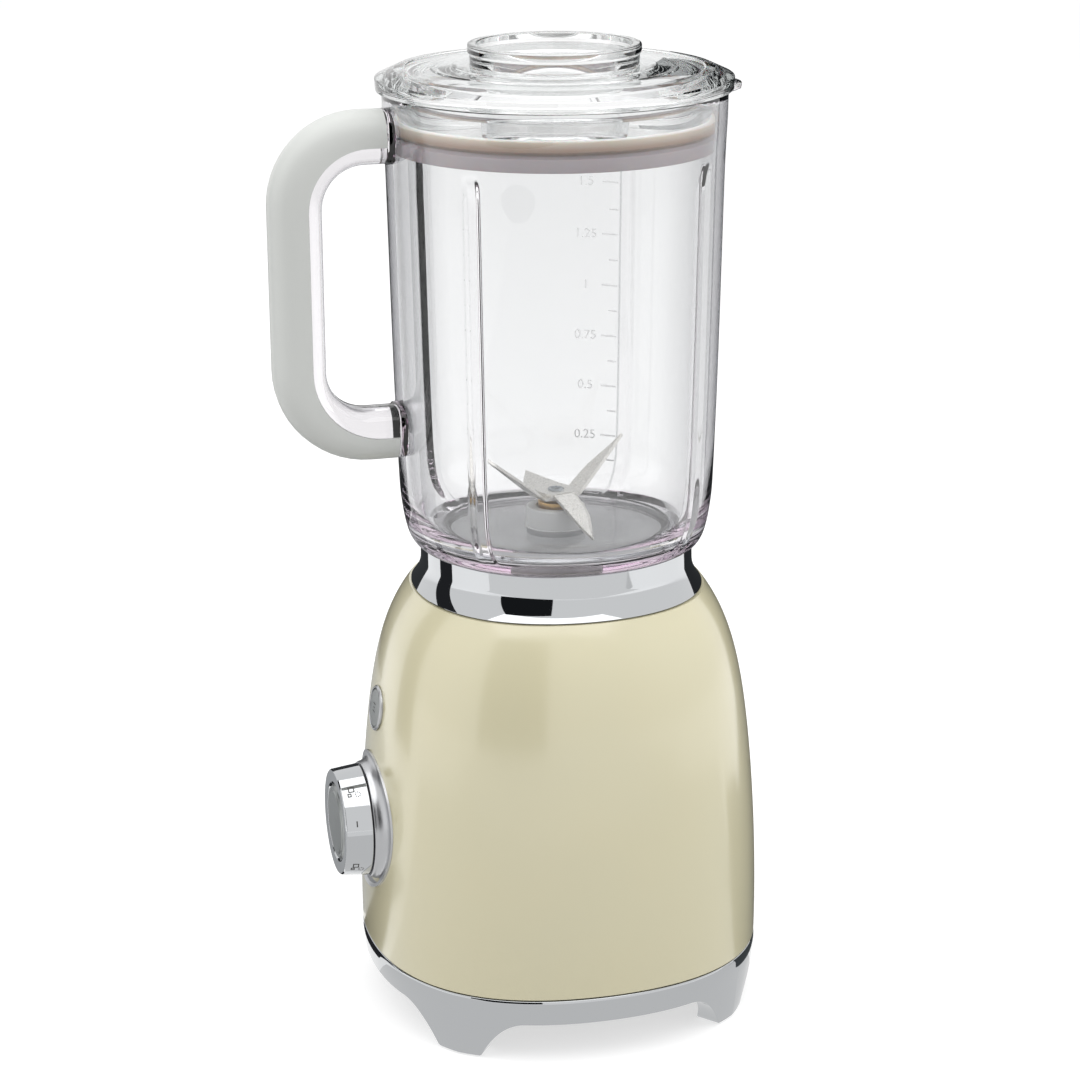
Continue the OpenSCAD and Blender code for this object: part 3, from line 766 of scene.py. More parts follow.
def build_knob_marks():
    """Plain marks on the knob's side, four times round: two cubes for ice, a ring of dots and a bar."""
    marks = []

    def cube_mark(angle, along, size):
        """A square frame."""
        line = 0.42
        marks.append(knob_patch(angle, along, size, line))
        marks.append(knob_patch(angle, along + size - line, size, line))
        for side in (-0.5, 0.5):
            shift = math.degrees((size - line) * side / KNOB_R)
            marks.append(knob_patch(angle + shift, along, line, size))

    dots, dot, dot_ring_r = 8, 0.4, 1.0
    for group in (34, 124, 214, 304):
        beside = group + 6.5
        marks.append(knob_patch(group + 38, 4.6, 2.4, 0.5))
        cube_mark(group, 3.2, 2.5)
        cube_mark(beside, 2.6, 1.6)
        for k in range(dots):
            turn = math.tau * k / dots
            shift = math.degrees(dot_ring_r * math.sin(turn) / KNOB_R)
            marks.append(knob_patch(beside + shift, 6.6 + dot_ring_r * math.cos(turn), dot, dot))
    make_piece("knob_marks", marks, "speed_knob", printed_ink("mark_ink", linear("#3A3836")),
               turn=knob_turn)


def bezel_ring(r, out, share, proud):
    """A ring so far out, drawn by its share to a surface that stands proud of the housing."""
    ring = []
    for a in even(200):
        x, up, _ = polar(r, a, 0)
        z = KNOB_Z + up
        surface = housing_front_y(x, z) - proud
        ring.append((x, -out + (surface + out) * share ** 1.5, z))
    return ring


def build_bezel():
    """Bell-shaped ring between knob and housing; its rear edge follows the housing's curve."""
    front = KNOB_FRONT - KNOB_DEPTH
    mouth, lip_r, bore_r = 23.9, 28.3, 6.4
    lip, bedding = 0.9, 0.05
    flare_steps = 14
    face = rounded([(22.7, front - 0.8), (22.7, front - 0.1, 0.2), (23.6, front - 0.1, 0.4),
                    (mouth, front - 1.0)], 4)
    rings = [bezel_ring(r, out, 0, 0) for r, out in face]
    for k in range(1, flare_steps + 1):
        t = k / flare_steps
        rings.append(bezel_ring(mouth + 4.3 * t ** 1.7, front - 1.0 - 4.6 * t, t, lip))
    rings.append(bezel_ring(lip_r, 0, 1, lip + bedding))
    rings.append(bezel_ring(lip_r, 0, 1, bedding))
    rings.append(bezel_ring(bore_r, 0, 1, bedding))
    rings.append(bezel_ring(bore_r, front - 0.8, 0, 0))
    make_piece("knob_bezel_ring", loft(rings, closed=True), "base", satin_silver(), ["knob_bezel"],
               sharp=40)


def build_pulse_button():
    """Round button in a thin ring, marked with three short bars."""
    inner = BUTTON_R + 0.15
    ring = rounded([(inner, -4), (inner + 0.5, -4), (inner + 0.5, 0.15), (inner + 1.15, 0.15),
                    (inner + 1.15, 0.5, 0.2), (inner + 0.6, 1.1, 0.4), (inner, 1.0, 0.2)], 5)
    make_piece("pulse_ring", lathe(ring, 120), "base", satin_silver(), ["button_ring"],
               turn=button_turn)
    cap = rounded([(0.01, -9.5), (2.4, -9.5), (2.4, -3), (BUTTON_R, -3), (BUTTON_R, 0.5, 0.3),
                   (BUTTON_R - 0.7, 0.95, 0.5), (0.01, 1.1)], 5)
    make_piece("pulse_button_cap", lathe(cap, 120), "button", turned_silver(BUTTON_Z), ["pulse_button"],
               turn=button_turn)
    marks = []
    line, out = 0.45, 1.14
    for width, up in ((3.4, 1.6), (2.0, 0.0), (3.4, -1.6)):
        side = width / 2
        points = [(-side, up, out), (side, up, out), (side, up + line, out), (-side, up + line, out)]
        marks.append((points, [(0, 1, 2, 3)]))
    make_piece("pulse_mark", marks, "button", printed_ink("pulse_ink", linear("#3C3C3E")),
               turn=button_turn)


def jug_angles():
    """Directions round the jug, close together where the ribs stand."""
    out = []
    coarse, fine, near_rib = 2, 0.3, 5
    for quarter in (0, 90, 180, 270):
        out += [quarter + i * coarse for i in range(45) if abs(i * coarse - 45) > near_rib]
        out += [quarter + 45 + i * fine for i in range(-16, 17)]
    return sorted(out)


def rib_height(angle, radius, depth):
    """How far a rib stands in from the wall: a flat top with steep, rounded sides."""
    off = math.radians(abs((angle % 90) - 45)) * radius
    side = min(1.0, max(0.0, (RIB_WIDTH / 2 - off) / RIB_SIDE))
    return depth * side * side * (3 - 2 * side)


def build_jug(looks):
    """Clear jug: a skirt below, thin walls with four ribs inside, and a pouring lip at the back."""
    top = JUG_TOP
    angles = jug_angles()
    outer = through([(56.4, 197.3), (58.2, 198.6), (59.9, 201.8), (61.2, 206.8), (62.2, 213), (62.9, 220),
                     (63.5, 235), (64.3, 260), (65.0, 290), (65.6, 320), (66.1, 345), (66.5, 358),
                     (67.0, 368), (67.2, top - 1.2)], 4)
    inner = through([(64.2, top - 0.8), (63.9, 366), (63.5, 358), (63.15, 350), (62.9, 340), (62.4, 318),
                     (61.8, 290), (61.1, 260), (60.3, 235), (59.4, 221), (58.2, 213.5), (55.8, 207.4),
                     (52.0, 203.4), (46.5, 201.2), (38.0, 200.6)], 4)
    rim = [(67.0, top - 0.3), (66.4, top), (65.0, top), (64.4, top - 0.2)]
    rings = []
    skirt = [(46.9, 196.4), (46.9, 183.4), (47.2, 183.0), (48.1, 183.0), (48.4, 183.4), (48.4, 197.2)]
    for r, z in skirt:
        rings.append([polar(r, a, z) for a in angles])
    for r, z in outer + rim:
        rings.append([polar(outline_r(r, JUG_BULGE, a), a, z) for a in angles])
    rib_top, rib_top_fade, rib_foot, rib_foot_fade = 354, 9, 198, 10
    wall_from_r, floor_bulge = 56, 0.008
    for r, z in inner:
        depth = RIB_DEPTH * max(0, min(1, (rib_top - z) / rib_top_fade)) ** 0.6
        depth *= max(0.25, min(1, (z - rib_foot) / rib_foot_fade))
        bulge = JUG_BULGE if r > wall_from_r else floor_bulge
        rings.append([polar(outline_r(r, bulge, a) - rib_height(a, r, depth), a, z) for a in angles])
    hub_hole = [(26, 200.5), (18, 200.3), (11.8, 200.2), (11.8, 196.4)]
    for r, z in hub_hole:
        rings.append([polar(r, a, z) for a in angles])
    jug = make_piece("jug_shell", loft(rings, closed=True), "jug_unit", clear_copolyester(looks.jug_tint),
                     ["jug", "handle_core"], sharp=50)
    lip = []
    lip_top = top - 0.1
    lip_sections = ((65.6, 9.0, 374.9), (71.5, 8.4, 375.2), (74.6, 6.6, 375.9), (75.6, 4.4, 376.9))
    for y, half_width, low in lip_sections:
        ring = []
        for i in range(32):
            a = math.tau * i / 32
            across = squarish(math.cos(a), 0.6) * half_width
            up = squarish(math.sin(a), 0.6) * (lip_top - low) / 2
            ring.append((across, y, (lip_top + low) / 2 + up))
        lip.append(ring)
    let_light_through(jug)
    merge_into(jug, make_piece("pouring_lip", loft(lip, capped=True), "jug_unit", jug.data.materials[0]))
    return jug


def handle_edge(reach, top, bottom, r_top, r_bottom, root_top, root_bottom):
    """Edge of the handle in its own plane, from its top root round to its bottom root, evenly divided."""
    run = [(-root_top + (-(reach - r_top) + root_top) * i / 8, top) for i in range(8)]
    run += arc(-reach + r_top, top - r_top, r_top, 90, 180, 14)
    low, high = bottom + r_bottom, top - r_top
    run += [(-reach, high + (low - high) * i / 16) for i in range(1, 16)]
    run += arc(-reach + r_bottom, bottom + r_bottom, r_bottom, 180, 270, 14)
    run += [(-(reach - r_bottom) + (-root_bottom + reach - r_bottom) * i / 8, bottom) for i in range(1, 9)]
    return run


def half_section(seat, crown, width, power):
    """Half an oval section from a flat seat out to a crown, across the handle's width."""
    seat, crown = Vector(seat), Vector(crown)
    steps = 14
    ring = []
    for i in range(steps + 1):
        a = math.pi * i / steps
        x = squarish(math.cos(a), 2 / power) * width / 2
        up = abs(math.sin(a)) ** (2 / power)
        at = seat + (crown - seat) * (up if 0 < i < steps else 0)
        ring.append((x, at.x, at.y))
    return ring


def build_handle(looks, jug):
    """Opaque grip outside, clear core inside it, and the clear pads where the core meets the jug."""
    roots = {"root_top": 69.2, "root_bottom": 66.6}
    seat = handle_edge(reach=HANDLE_REACH - 14.3, top=360.9, bottom=246, r_top=24, r_bottom=28, **roots)
    crown = handle_edge(reach=HANDLE_REACH, top=374.4, bottom=235.8, r_top=36, r_bottom=38, **roots)
    rings = [half_section(s, c, GRIP_WIDTH, 2.3) for s, c in zip(seat, crown)]
    make_piece("handle_grip_shell", loft(rings, capped=True), "jug_unit", grip_plastic(looks.grip),
               ["handle_grip"], sharp=55)
    roots = {"root_top": 65.4, "root_bottom": 63.4}
    seat = handle_edge(reach=HANDLE_REACH - 14.5, top=360.7, bottom=246.2, r_top=23.8, r_bottom=27.8,
                       **roots)
    crown = handle_edge(reach=HANDLE_REACH - 20.9, top=353.4, bottom=257, r_top=16.5, r_bottom=16, **roots)
    rings = [half_section(s, c, GRIP_WIDTH - 1.6, 2.6) for s, c in zip(seat, crown)]
    core = make_piece("handle_core_part", loft(rings, capped=True), "jug_unit", jug.data.materials[0],
                      sharp=55)
    pads = []
    for y_in, y_out, z_low, z_high in ((-66.0, -69.0, 353.0, 374.2), (-63.2, -66.4, 236.4, 257.6)):
        middle = (z_low + z_high) / 2
        rings = []
        for y, grow in ((y_in, 0.0), (y_out + 0.6, 0.0), (y_out, -0.6)):
            ring = []
            for i in range(48):
                a = math.tau * i / 48
                x = squarish(math.cos(a), 0.7) * (GRIP_WIDTH / 2 + grow)
                z = middle + squarish(math.sin(a), 0.7) * ((z_high - z_low) / 2 + grow)
                ring.append((x, y, z))
            rings.append(ring)
        pads.append(loft(rings, capped=True))
    merge_into(jug, core)
    for k, shape in enumerate(pads):
        merge_into(jug, make_piece(f"handle_pad_{k}", shape, "jug_unit", jug.data.materials[0]))


def merge_into(piece, tool, operation="UNION"):
    """Joins a helper mesh to a piece as one solid, and removes the helper."""
    step = piece.modifiers.new("join", "BOOLEAN")
    step.operation = operation
    step.solver = "EXACT"
    step.object = tool
    bpy.context.view_layer.update()
    graph = bpy.context.evaluated_depsgraph_get()
    result = bpy.data.meshes.new_from_object(piece.evaluated_get(graph))
    piece.modifiers.clear()
    old = piece.data
    piece.data = result
    bpy.data.meshes.remove(old)
    bpy.data.objects.remove(tool)
    finish_mesh(piece.data, 50)


def jug_level(litres):
    """Height at which the jug holds so much, from its plan area."""
    below_blades = 2
    return FLOOR_Z + below_blades + litres * 1e6 / (math.pi * JUG_MEAN_R ** 2)


def inner_wall(angle, z):
    """Radius of the jug's inside between its ribs."""
    low_r, low_z, draft = 60.3, 235, 0.026
    return outline_r(low_r + draft * (z - low_z), JUG_BULGE, angle)


def number_mesh(text, size, angle, z):
    """Plain figures laid on the inside of the jug's wall, to be read from the front."""
    curve = bpy.data.curves.new("figures", "FONT")
    curve.body = text
    curve.size = size
    curve.align_x = "CENTER"
    curve.align_y = "CENTER"
    curve.extrude = 0.15
    flat = bpy.data.objects.new("figures", curve)
    mesh = flat.to_mesh()
    points = []
    for vertex in mesh.vertices:
        x, y, out = vertex.co
        turn = angle - math.degrees(x / JUG_MEAN_R)
        points.append(polar(inner_wall(turn, z) - 0.1 - out, turn, z + y))
    faces = [tuple(face.vertices) for face in mesh.polygons]
    flat.to_mesh_clear()
    bpy.data.objects.remove(flat)
    bpy.data.curves.remove(curve)
    return points, faces


def build_marks():
    """Level lines inside the back wall, with plain numbers in litres beside them."""
    marks = []
    right_end = 139
    line_height = 0.7
    for eighth in range(1, 13):
        z = jug_level(eighth / 8)
        numbered = eighth % 2 == 0
        width = 7 if numbered else 4
        points = []
        for rise in (0, line_height):
            for inwards in (0.1, 0.4):
                for i in range(5):
                    a = right_end + math.degrees(width / JUG_MEAN_R) * i / 4
                    points.append(polar(inner_wall(a, z) - inwards, a, z + rise))
        faces = []
        for i in range(4):
            for first, second in ((0, 5), (5, 15), (10, 15)):
                faces.append((first + i, first + i + 1, second + i + 1, second + i))
        marks.append((points, faces))
        if numbered:
            marks.append(number_mesh(f"{eighth / 8:g}", 5.5, right_end + 13, z + 0.3))
    make_piece("level_marks", marks, "jug_unit", printed_ink("moulded_mark", linear("#FBFBFB")))


def build_lid():
    """Clear lid with a skirt that goes into the jug, and the seal in the skirt's groove."""
    rim = LID_BOTTOM + 21.6
    profile = rounded([
        (30.8, 378.2, 0.3), (33.0, 378.2, 0.5), (33.4, 384.6, 1.0), (45, 384.4, 2.0),
        (53, 383.0, 2.0), (58.2, 380.6, 1.5), (58.6, 358.2, 0.4), (61.0, 358.2, 0.4), (61.0, 361),
        (59.9, 361), (59.9, 369), (61.0, 369), (62.7, 375, 1.0), (62.7, rim, 0.3), (69.8, rim, 0.3),
        (70, rim + 4.4, 0.4), (62.5, rim + 7.8, 1.0), (58.6, rim + 8.1, 0.5), (58.2, rim + 7.6, 0.3),
        (48.4, 387.2, 0.3), (47.9, 387.8, 0.3), (40.0, 388.0, 0.3), (39.5, 388.6, 0.3),
        (30.8, 388.6, 0.4)], 3)
    let_light_through(make_piece("lid_shell", lathe(profile, 360), "lid_unit", lid_copolyester(), ["lid"],
                                 sharp=50))
    seal = rounded([
        (59.95, 361.1), (60.9, 361.1), (61.2, 357.2, 0.5), (62.9, 356.7, 0.5), (63.0, 362.0, 0.7),
        (61.2, 363.4, 0.4), (63.2, 364.6, 0.7), (63.1, 368.6, 0.6), (61.4, 368.9, 0.3), (59.95, 368.9)], 5)
    make_piece("lid_seal", lathe(seal, 240), "lid_unit", silicone_seal(), ["lid_gasket"])


def build_cap():
    """Measuring cap: a clear cup that hangs in the lid's neck by its rim."""
    rim = CAP_TOP - 0.2
    floor, floor_top = 370, 372.4
    profile = rounded([
        (0.01, floor), (26.2, floor, 1.6), (28.3, 373, 2), (30.1, 388.9, 0.4), (33, 388.9, 0.3),
        (33.2, 392.6, 0.6), (33.9, 393.6, 0.6), (33.9, rim, 1.0), (30.4, rim, 0.8), (29.6, 393, 2),
        (27.6, 388, 3), (25.9, 373, 1.6), (24.8, floor_top, 1.0), (0.01, floor_top)], 5)
    let_light_through(make_piece("measuring_cap_shell", lathe(profile, 200), "cap",
                                 lid_copolyester(), ["measuring_cap"], sharp=50))


def build_carrier():
    """Hub that carries the blades through the jug's floor, with its ring, its seal and its bushing."""
    profile = rounded([
        (6.5, 190), (12, 190), (12, 209.6, 0.8), (8.2, 209.6, 0.3), (7.9, 208.8, 0.2), (6.5, 208.8)], 5)
    make_piece("blade_hub", lathe(profile, 120), "jug_unit", carrier_plastic(), ["blade_carrier"])
    nut = rounded([(12.1, 191.6), (45.6, 191.6, 0.8), (45.6, 193.4, 0.4), (12.1, 193.4)], 4)
    make_piece("jug_base_ring", lathe(nut, 160), "jug_unit", carrier_plastic("#DFE0E0", "#E9EAEA"),
               ["carrier_nut"])
    low, high = node_box("carrier_gasket")
    seal_top = high.z - 0.5
    seal = rounded([(12.05, low.z), (12.7, low.z, 0.1), (12.7, seal_top, 0.2), (12.05, seal_top)], 3)
    make_piece("hub_seal", lathe(seal, 90), "jug_unit", carrier_plastic(), ["carrier_gasket"])
    bush = rounded([(4.05, 192), (6.4, 192), (6.4, 208.9), (7.2, 208.9, 0.2), (7.3, 211.9, 0.5),
                    (4.05, 212.3, 0.3)], 4)
    make_piece("brass_bushing", lathe(bush, 90), "jug_unit", turned_brass(), ["blade_bushing"])


def turned(along, across, height, heading):
    """A point of a blade, turned to the blade's heading in degrees."""
    turn = math.radians(heading)
    return (along * math.cos(turn) - across * math.sin(turn),
            along * math.sin(turn) + across * math.cos(turn), height)


def wing_shape(fold, angle, length, root, z, heading):
    """A blade wing, bent up by angle at its fold: a strip that narrows to a slanted, ground point."""
    grind, edge_thick = 1.8, 0.12
    bend = math.radians(angle)
    rings = []
    for s in (0.0, 0.12, 0.3, 0.45, 0.6, 0.72, 0.84, 0.93, 1.0):
        back = -root * (1 - 0.45 * s)
        edge = root * (1 - 0.2 * s)
        slant = max(0.0, (s - 0.35) / 0.65)
        edge += (back + 0.5 - edge) * slant ** 1.5
        bevel = min(grind, (edge - back) * 0.45)
        section = ((back, 0.0), (back, BLADE_THICK), (edge - bevel, BLADE_THICK), (edge, edge_thick),
                   (edge - 0.2, 0.0))
        ring = []
        for across, up in section:
            along = fold + length * s * math.cos(bend) - up * math.sin(bend)
            height = z + length * s * math.sin(bend) + up * math.cos(bend)
            ring.append(turned(along, across, height, heading))
        rings.append(ring)
    return loft(rings, capped=True)


def blade_plate(z, half_length, half_width, heading):
    """The flat middle of a blade, round-cornered, and wider where its bolt goes through."""
    waist = half_width + 1.4
    outline = rounded([(-half_length, -half_width, 1.0), (-2, -waist, 4), (2, -waist, 4),
                       (half_length, -half_width, 1.0), (half_length, half_width, 1.0), (2, waist, 4),
                       (-2, waist, 4), (-half_length, half_width, 1.0)], 4)
    rings = [[turned(x, y, z + h, heading) for x, y in outline] for h in (0, BLADE_THICK)]
    return loft(rings, capped=True)


def build_blades():
    """Two blades of strip steel, crossed on the shaft, and the bolt that holds them."""
    steel = ground_steel()
    low = 213.8
    lower = [blade_plate(low, 9, 5.4, 110),
             wing_shape(8.8, 42, 31.5, 5.2, low, 110),
             wing_shape(8.8, 40, 30, 5.2, low, 290)]
    make_piece("lower_blade_strip", lower, "blades", steel, ["lower_blade"], sharp=25)
    high = low + BLADE_THICK
    upper = [blade_plate(high, 7.2, 6.2, 15),
             wing_shape(7.0, -27, 29.5, 5.4, high, 15),
             wing_shape(7.0, 1, 23, 6.2, high, 195)]
    make_piece("upper_blade_strip", upper, "blades", steel, ["upper_blade"], sharp=25)
    head = rounded([(0.01, high + 1.2), (3.3, high + 1.2), (3.3, high + 2.0, 0.5), (1.9, high + 2.2, 0.2),
                    (1.6, high + 1.0), (0.01, high + 1.0)], 4)
    make_piece("blade_bolt_head", lathe(head, 60), "blades", plated_sheet(), ["blade_bolt"])


def finish_frame_nodes():
    """Gives every construction piece that shows as it is the material of the real one."""
    finishes = {
        "black_plastic": black_plastic(), "black_rubber": black_rubber(), "steel": turned_steel(),
        "zinc_plate": plated_sheet(), "brass": turned_brass(), "bronze": turned_brass(),
        "copper": wound_copper(), "carbon": pressed_carbon(), "board": board_lacquer(),
        "white_plastic": white_plastic(), "silicone": silicone_seal(), "grey_plastic": carrier_plastic(),
        "satin_silver": satin_silver(), "satin_grey": turned_silver(KNOB_Z), "chrome": chromium_plate(),
        "blade_steel": ground_steel(),
    }
    for part in frame["record"]["subparts"]:
        holder = frame["nodes"].get(part["node"])
        material = finishes.get(part["material_slot"])
        if holder is None or material is None:
            continue
        for item in [holder, *holder.children_recursive]:
            if item.type == "MESH":
                for k in range(len(item.material_slots)):
                    item.material_slots[k].link = "OBJECT"
                    item.material_slots[k].material = material


# ---------------------------------------------------------------------------------------------
# Stage
# ---------------------------------------------------------------------------------------------

def build_camera():
    """Camera about 1.25 m away, above the lid's height, looking down past the handle's side.

    It is aimed a third of a degree beside the drive axis, and rolled by a quarter of a degree."""
    heading = math.radians(CAMERA_TURN)
    pitch = math.radians(17.453)
    roll = math.radians(0.274)
    off_axis = math.radians(0.331)
    away, height = 1120.6, 547.2
    stand = Vector((away * math.sin(heading), -away * math.cos(heading), height))
    ahead = Vector((-math.sin(heading), math.cos(heading), 0))
    right = Vector((math.cos(heading), math.sin(heading), 0))
    ahead, right = (ahead * math.cos(off_axis) - right * math.sin(off_axis),
                    right * math.cos(off_axis) + ahead * math.sin(off_axis))
    up = ahead * math.sin(pitch) + Vector((0, 0, math.cos(pitch)))
    ahead = ahead * math.cos(pitch) - Vector((0, 0, math.sin(pitch)))
    right, up = (right * math.cos(roll) - up * math.sin(roll), up * math.cos(roll) + right * math.sin(roll))
    data = bpy.data.cameras.new("view")
    data.lens = 96.0
    data.sensor_width = 36.0
    data.clip_end = 50
    camera = bpy.data.objects.new("view", data)
    turn = Matrix((right, up, -ahead)).transposed()
    camera.matrix_world = Matrix.Translation(place(stand)) @ turn.to_4x4()
    bpy.context.collection.objects.link(camera)
    bpy.context.scene.camera = camera


def add_lamp(name, turn, away, height, size, power):
    """A soft box turned so many degrees round from the camera, aimed at the object.

    Mirrors see only one that hangs overhead: the side ones would show in the plate as bright squares."""
    data = bpy.data.lights.new(name, "AREA")
    data.shape = "RECTANGLE"
    data.size, data.size_y = size
    data.energy = power
    lamp = bpy.data.objects.new(name, data)
    heading = math.radians(CAMERA_TURN - 90 + turn)
    lamp.location = (away * math.cos(heading), AXIS_Y + away * math.sin(heading), height)
    aim = Vector((0, AXIS_Y, 0.2)) - lamp.location
    lamp.rotation_euler = aim.to_track_quat("-Z", "Y").to_euler()
    overhead = height > away
    lamp.visible_glossy = overhead
    bpy.context.collection.objects.link(lamp)


def add_card(name, turn, near, far, width, low, high, tone):
    """A studio card that only mirrors see, turned so many degrees round from the camera.

    It rises from low at its near edge to high at its far one."""
    heading = math.radians(CAMERA_TURN - 90 + turn)
    out = Vector((math.cos(heading), math.sin(heading), 0))
    across = Vector((-math.sin(heading), math.cos(heading), 0)) * width / 2
    corners = []
    for side, away, height in ((-1, near, low), (1, near, low), (1, far, high), (-1, far, high)):
        corners.append(tuple(Vector((0, AXIS_Y, height)) + out * away + across * side))
    mesh = bpy.data.meshes.new(name)
    mesh.from_pydata(corners, [], [(0, 1, 2, 3)])
    card = bpy.data.objects.new(name, mesh)
    material = bpy.data.materials.new(name)
    material.use_nodes = True
    tree = material.node_tree
    tree.nodes.clear()
    sheet = add_node(tree, "ShaderNodeEmission", {"Color": linear(tone), "Strength": 1.0})
    add_node(tree, "ShaderNodeOutputMaterial", {"Surface": sheet.outputs[0]})
    mesh.materials.append(material)
    for rays in ("camera", "diffuse", "transmission", "shadow", "volume_scatter"):
        setattr(card, "visible_" + rays, False)
    bpy.context.collection.objects.link(card)


def build_floor():
    """A pale floor that runs out of sight on every side."""
    reach = 12.0
    mesh = bpy.data.meshes.new("floor")
    corners = [(-reach, -reach, 0), (reach, -reach, 0), (reach, reach, 0), (-reach, reach, 0)]
    mesh.from_pydata(corners, [], [(0, 1, 2, 3)])
    mesh.materials.append(floor_white())
    floor = bpy.data.objects.new("floor", mesh)
    bpy.context.collection.objects.link(floor)


def build_world():
    """White all round: seen as plain white, and a little dimmer as the light that fills in."""
    world = bpy.data.worlds.new("studio")
    bpy.context.scene.world = world
    world.use_nodes = True
    tree = world.node_tree
    tree.nodes.clear()
    sky = add_node(tree, "ShaderNodeBackground",
                   {"Color": (1, 1, 1, 1), "Strength": seen_directly(tree, 1.0, 0.72)})
    add_node(tree, "ShaderNodeOutputWorld", {"Surface": sky.outputs[0]})


def build_stage():
    """Camera, floor, white surround, lamps and the cards that the plated pieces mirror."""
    build_camera()
    build_floor()
    build_world()
    table = 0.001
    add_lamp("soft_left", -78, 1.5, 0.9, (1.5, 1.8), 9)
    add_lamp("soft_right", 75, 1.5, 0.9, (1.5, 1.8), 10)
    add_lamp("soft_top", 0, 0.2, 2.0, (2.6, 2.6), 25)
    add_card("card_behind_camera", -20, 1.35, 1.35, 1.1, 0.03, 1.5, "#1E2022")
    add_card("card_left", -105, 0.55, 0.55, 0.17, 0.0, 0.9, "#2A2B2E")
    add_card("card_back_left", -157, 0.55, 0.55, 0.4, 0.0, 0.27, "#3A3C3E")
    add_card("card_back_right", 152, 0.55, 0.55, 0.42, 0.0, 0.9, "#303234")
    add_card("card_table_left", -150, 0.1, 0.55, 0.4, table, table, "#AEB0B2")
    add_card("card_table_right", 150, 0.1, 0.55, 0.4, table, table, "#4A4C4E")
    add_card("card_table_front", 5, 0.0, 0.42, 1.1, table, table, "#E8E8E8")
    add_card("card_table_far", 5, 0.42, 1.5, 1.6, table, table, "#FFFFFF")
    add_card("strip_table_left", -104, 0.1, 0.4, 0.05, 2 * table, 2 * table, "#2A2B2E")
    add_card("strip_table_right", 106, 0.1, 0.4, 0.1, 2 * table, 2 * table, "#4A4E50")
    scene = bpy.context.scene
    scene.view_settings.view_transform = "Standard"
    scene.cycles.glossy_bounces = 12
    scene.cycles.transmission_bounces = 16
    scene.cycles.max_bounces = 20


# ---------------------------------------------------------------------------------------------
# Add-on: properties, operators, panel
# ---------------------------------------------------------------------------------------------

class KitchenBlenderLooks(bpy.types.PropertyGroup):
    """Colours that a user would change"""
    enamel: bpy.props.FloatVectorProperty(
        name="Enamel", description="Colour of the housing's baked enamel",
        subtype="COLOR", size=4, min=0, max=1, default=linear("#CFC9A9"))
    grip: bpy.props.FloatVectorProperty(
        name="Grip", description="Colour of the handle's opaque grip",
        subtype="COLOR", size=4, min=0, max=1, default=linear("#C9CBC8"))
    jug_tint: bpy.props.FloatVectorProperty(
        name="Jug tint", description="Tint of the jug's clear plastic where light runs far in it",
        subtype="COLOR", size=4, min=0, max=1, default=(0.93, 0.80, 0.90, 1.0))


def looks():
    """The colours that are set in the panel."""
    return bpy.context.scene.kitchen_blender_looks


class KITCHEN_OT_housing(bpy.types.Operator):
    """Builds the enamelled housing with its collar"""
    bl_idname = "kitchen.housing"
    bl_label = "Housing and collar"

    def execute(self, context):
        build_housing(looks())
        build_collar()
        return {"FINISHED"}


class KITCHEN_OT_base(bpy.types.Operator):
    """Builds the plated base ring and its foot pads"""
    bl_idname = "kitchen.base"
    bl_label = "Base ring and feet"

    def execute(self, context):
        build_base_ring()
        build_feet()
        return {"FINISHED"}


class KITCHEN_OT_controls(bpy.types.Operator):
    """Builds the knob, its bezel and the pulse button"""
    bl_idname = "kitchen.controls"
    bl_label = "Controls"

    def execute(self, context):
        build_knob()
        build_bezel()
        build_pulse_button()
        return {"FINISHED"}


class KITCHEN_OT_jug(bpy.types.Operator):
    """Builds the clear jug with its handle and level marks"""
    bl_idname = "kitchen.jug"
    bl_label = "Jug and handle"

    def execute(self, context):
        jug = build_jug(looks())
        build_handle(looks(), jug)
        build_marks()
        return {"FINISHED"}


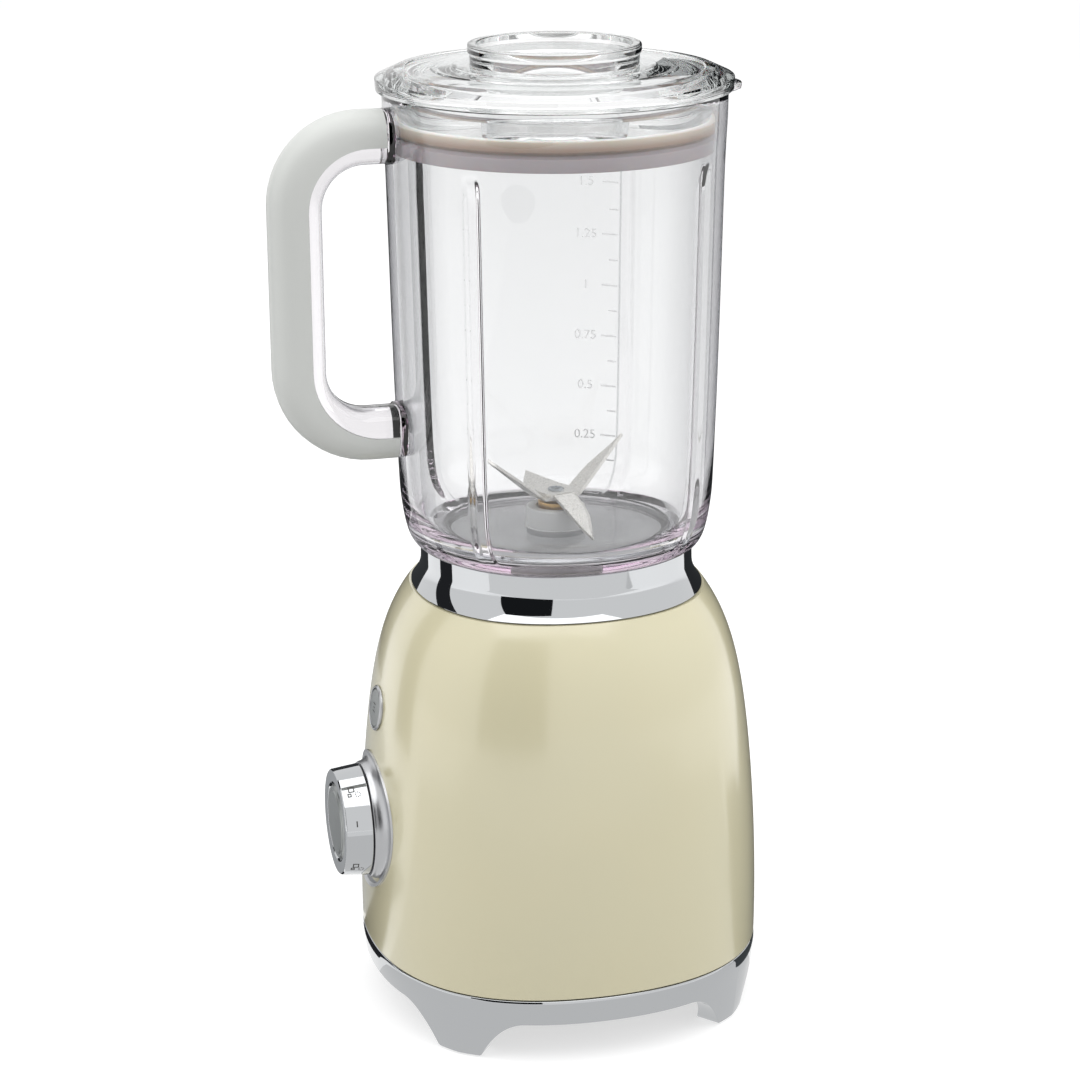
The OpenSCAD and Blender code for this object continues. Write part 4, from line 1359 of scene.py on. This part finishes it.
class KITCHEN_OT_lid(bpy.types.Operator):
    """Builds the lid, its seal and the measuring cap"""
    bl_idname = "kitchen.lid"
    bl_label = "Lid and cap"

    def execute(self, context):
        build_lid()
        build_cap()
        return {"FINISHED"}


class KITCHEN_OT_blades(bpy.types.Operator):
    """Builds the blade hub, its bushing and the blades"""
    bl_idname = "kitchen.blades"
    bl_label = "Blades"

    def execute(self, context):
        build_carrier()
        build_blades()
        return {"FINISHED"}


class KITCHEN_OT_inside(bpy.types.Operator):
    """Finishes the construction pieces that show as they are"""
    bl_idname = "kitchen.inside"
    bl_label = "Inside pieces"

    def execute(self, context):
        finish_frame_nodes()
        return {"FINISHED"}


class KITCHEN_OT_stage(bpy.types.Operator):
    """Builds the floor, the lamps and the camera"""
    bl_idname = "kitchen.stage"
    bl_label = "Stage"

    def execute(self, context):
        build_stage()
        return {"FINISHED"}


OPERATORS = (KITCHEN_OT_stage, KITCHEN_OT_inside, KITCHEN_OT_housing, KITCHEN_OT_base, KITCHEN_OT_controls,
             KITCHEN_OT_blades, KITCHEN_OT_jug, KITCHEN_OT_lid)


class KITCHEN_PT_panel(bpy.types.Panel):
    """Lists the blender's pieces and colours"""
    bl_label = "Countertop Blender"
    bl_idname = "KITCHEN_PT_panel"
    bl_space_type = "VIEW_3D"
    bl_region_type = "UI"
    bl_category = "Kitchen"

    def draw(self, context):
        for name in ("enamel", "grip", "jug_tint"):
            self.layout.prop(context.scene.kitchen_blender_looks, name)
        for operator in OPERATORS:
            self.layout.operator(operator.bl_idname)


CLASSES = (KitchenBlenderLooks, *OPERATORS, KITCHEN_PT_panel)


def register():
    for item in CLASSES:
        bpy.utils.register_class(item)
    bpy.types.Scene.kitchen_blender_looks = bpy.props.PointerProperty(type=KitchenBlenderLooks)


def unregister():
    del bpy.types.Scene.kitchen_blender_looks
    for item in reversed(CLASSES):
        bpy.utils.unregister_class(item)


def main():
    register()
    for operator in OPERATORS:
        group, name = operator.bl_idname.split(".")
        getattr(getattr(bpy.ops, group), name)()


if __name__ == "__main__":
    main()
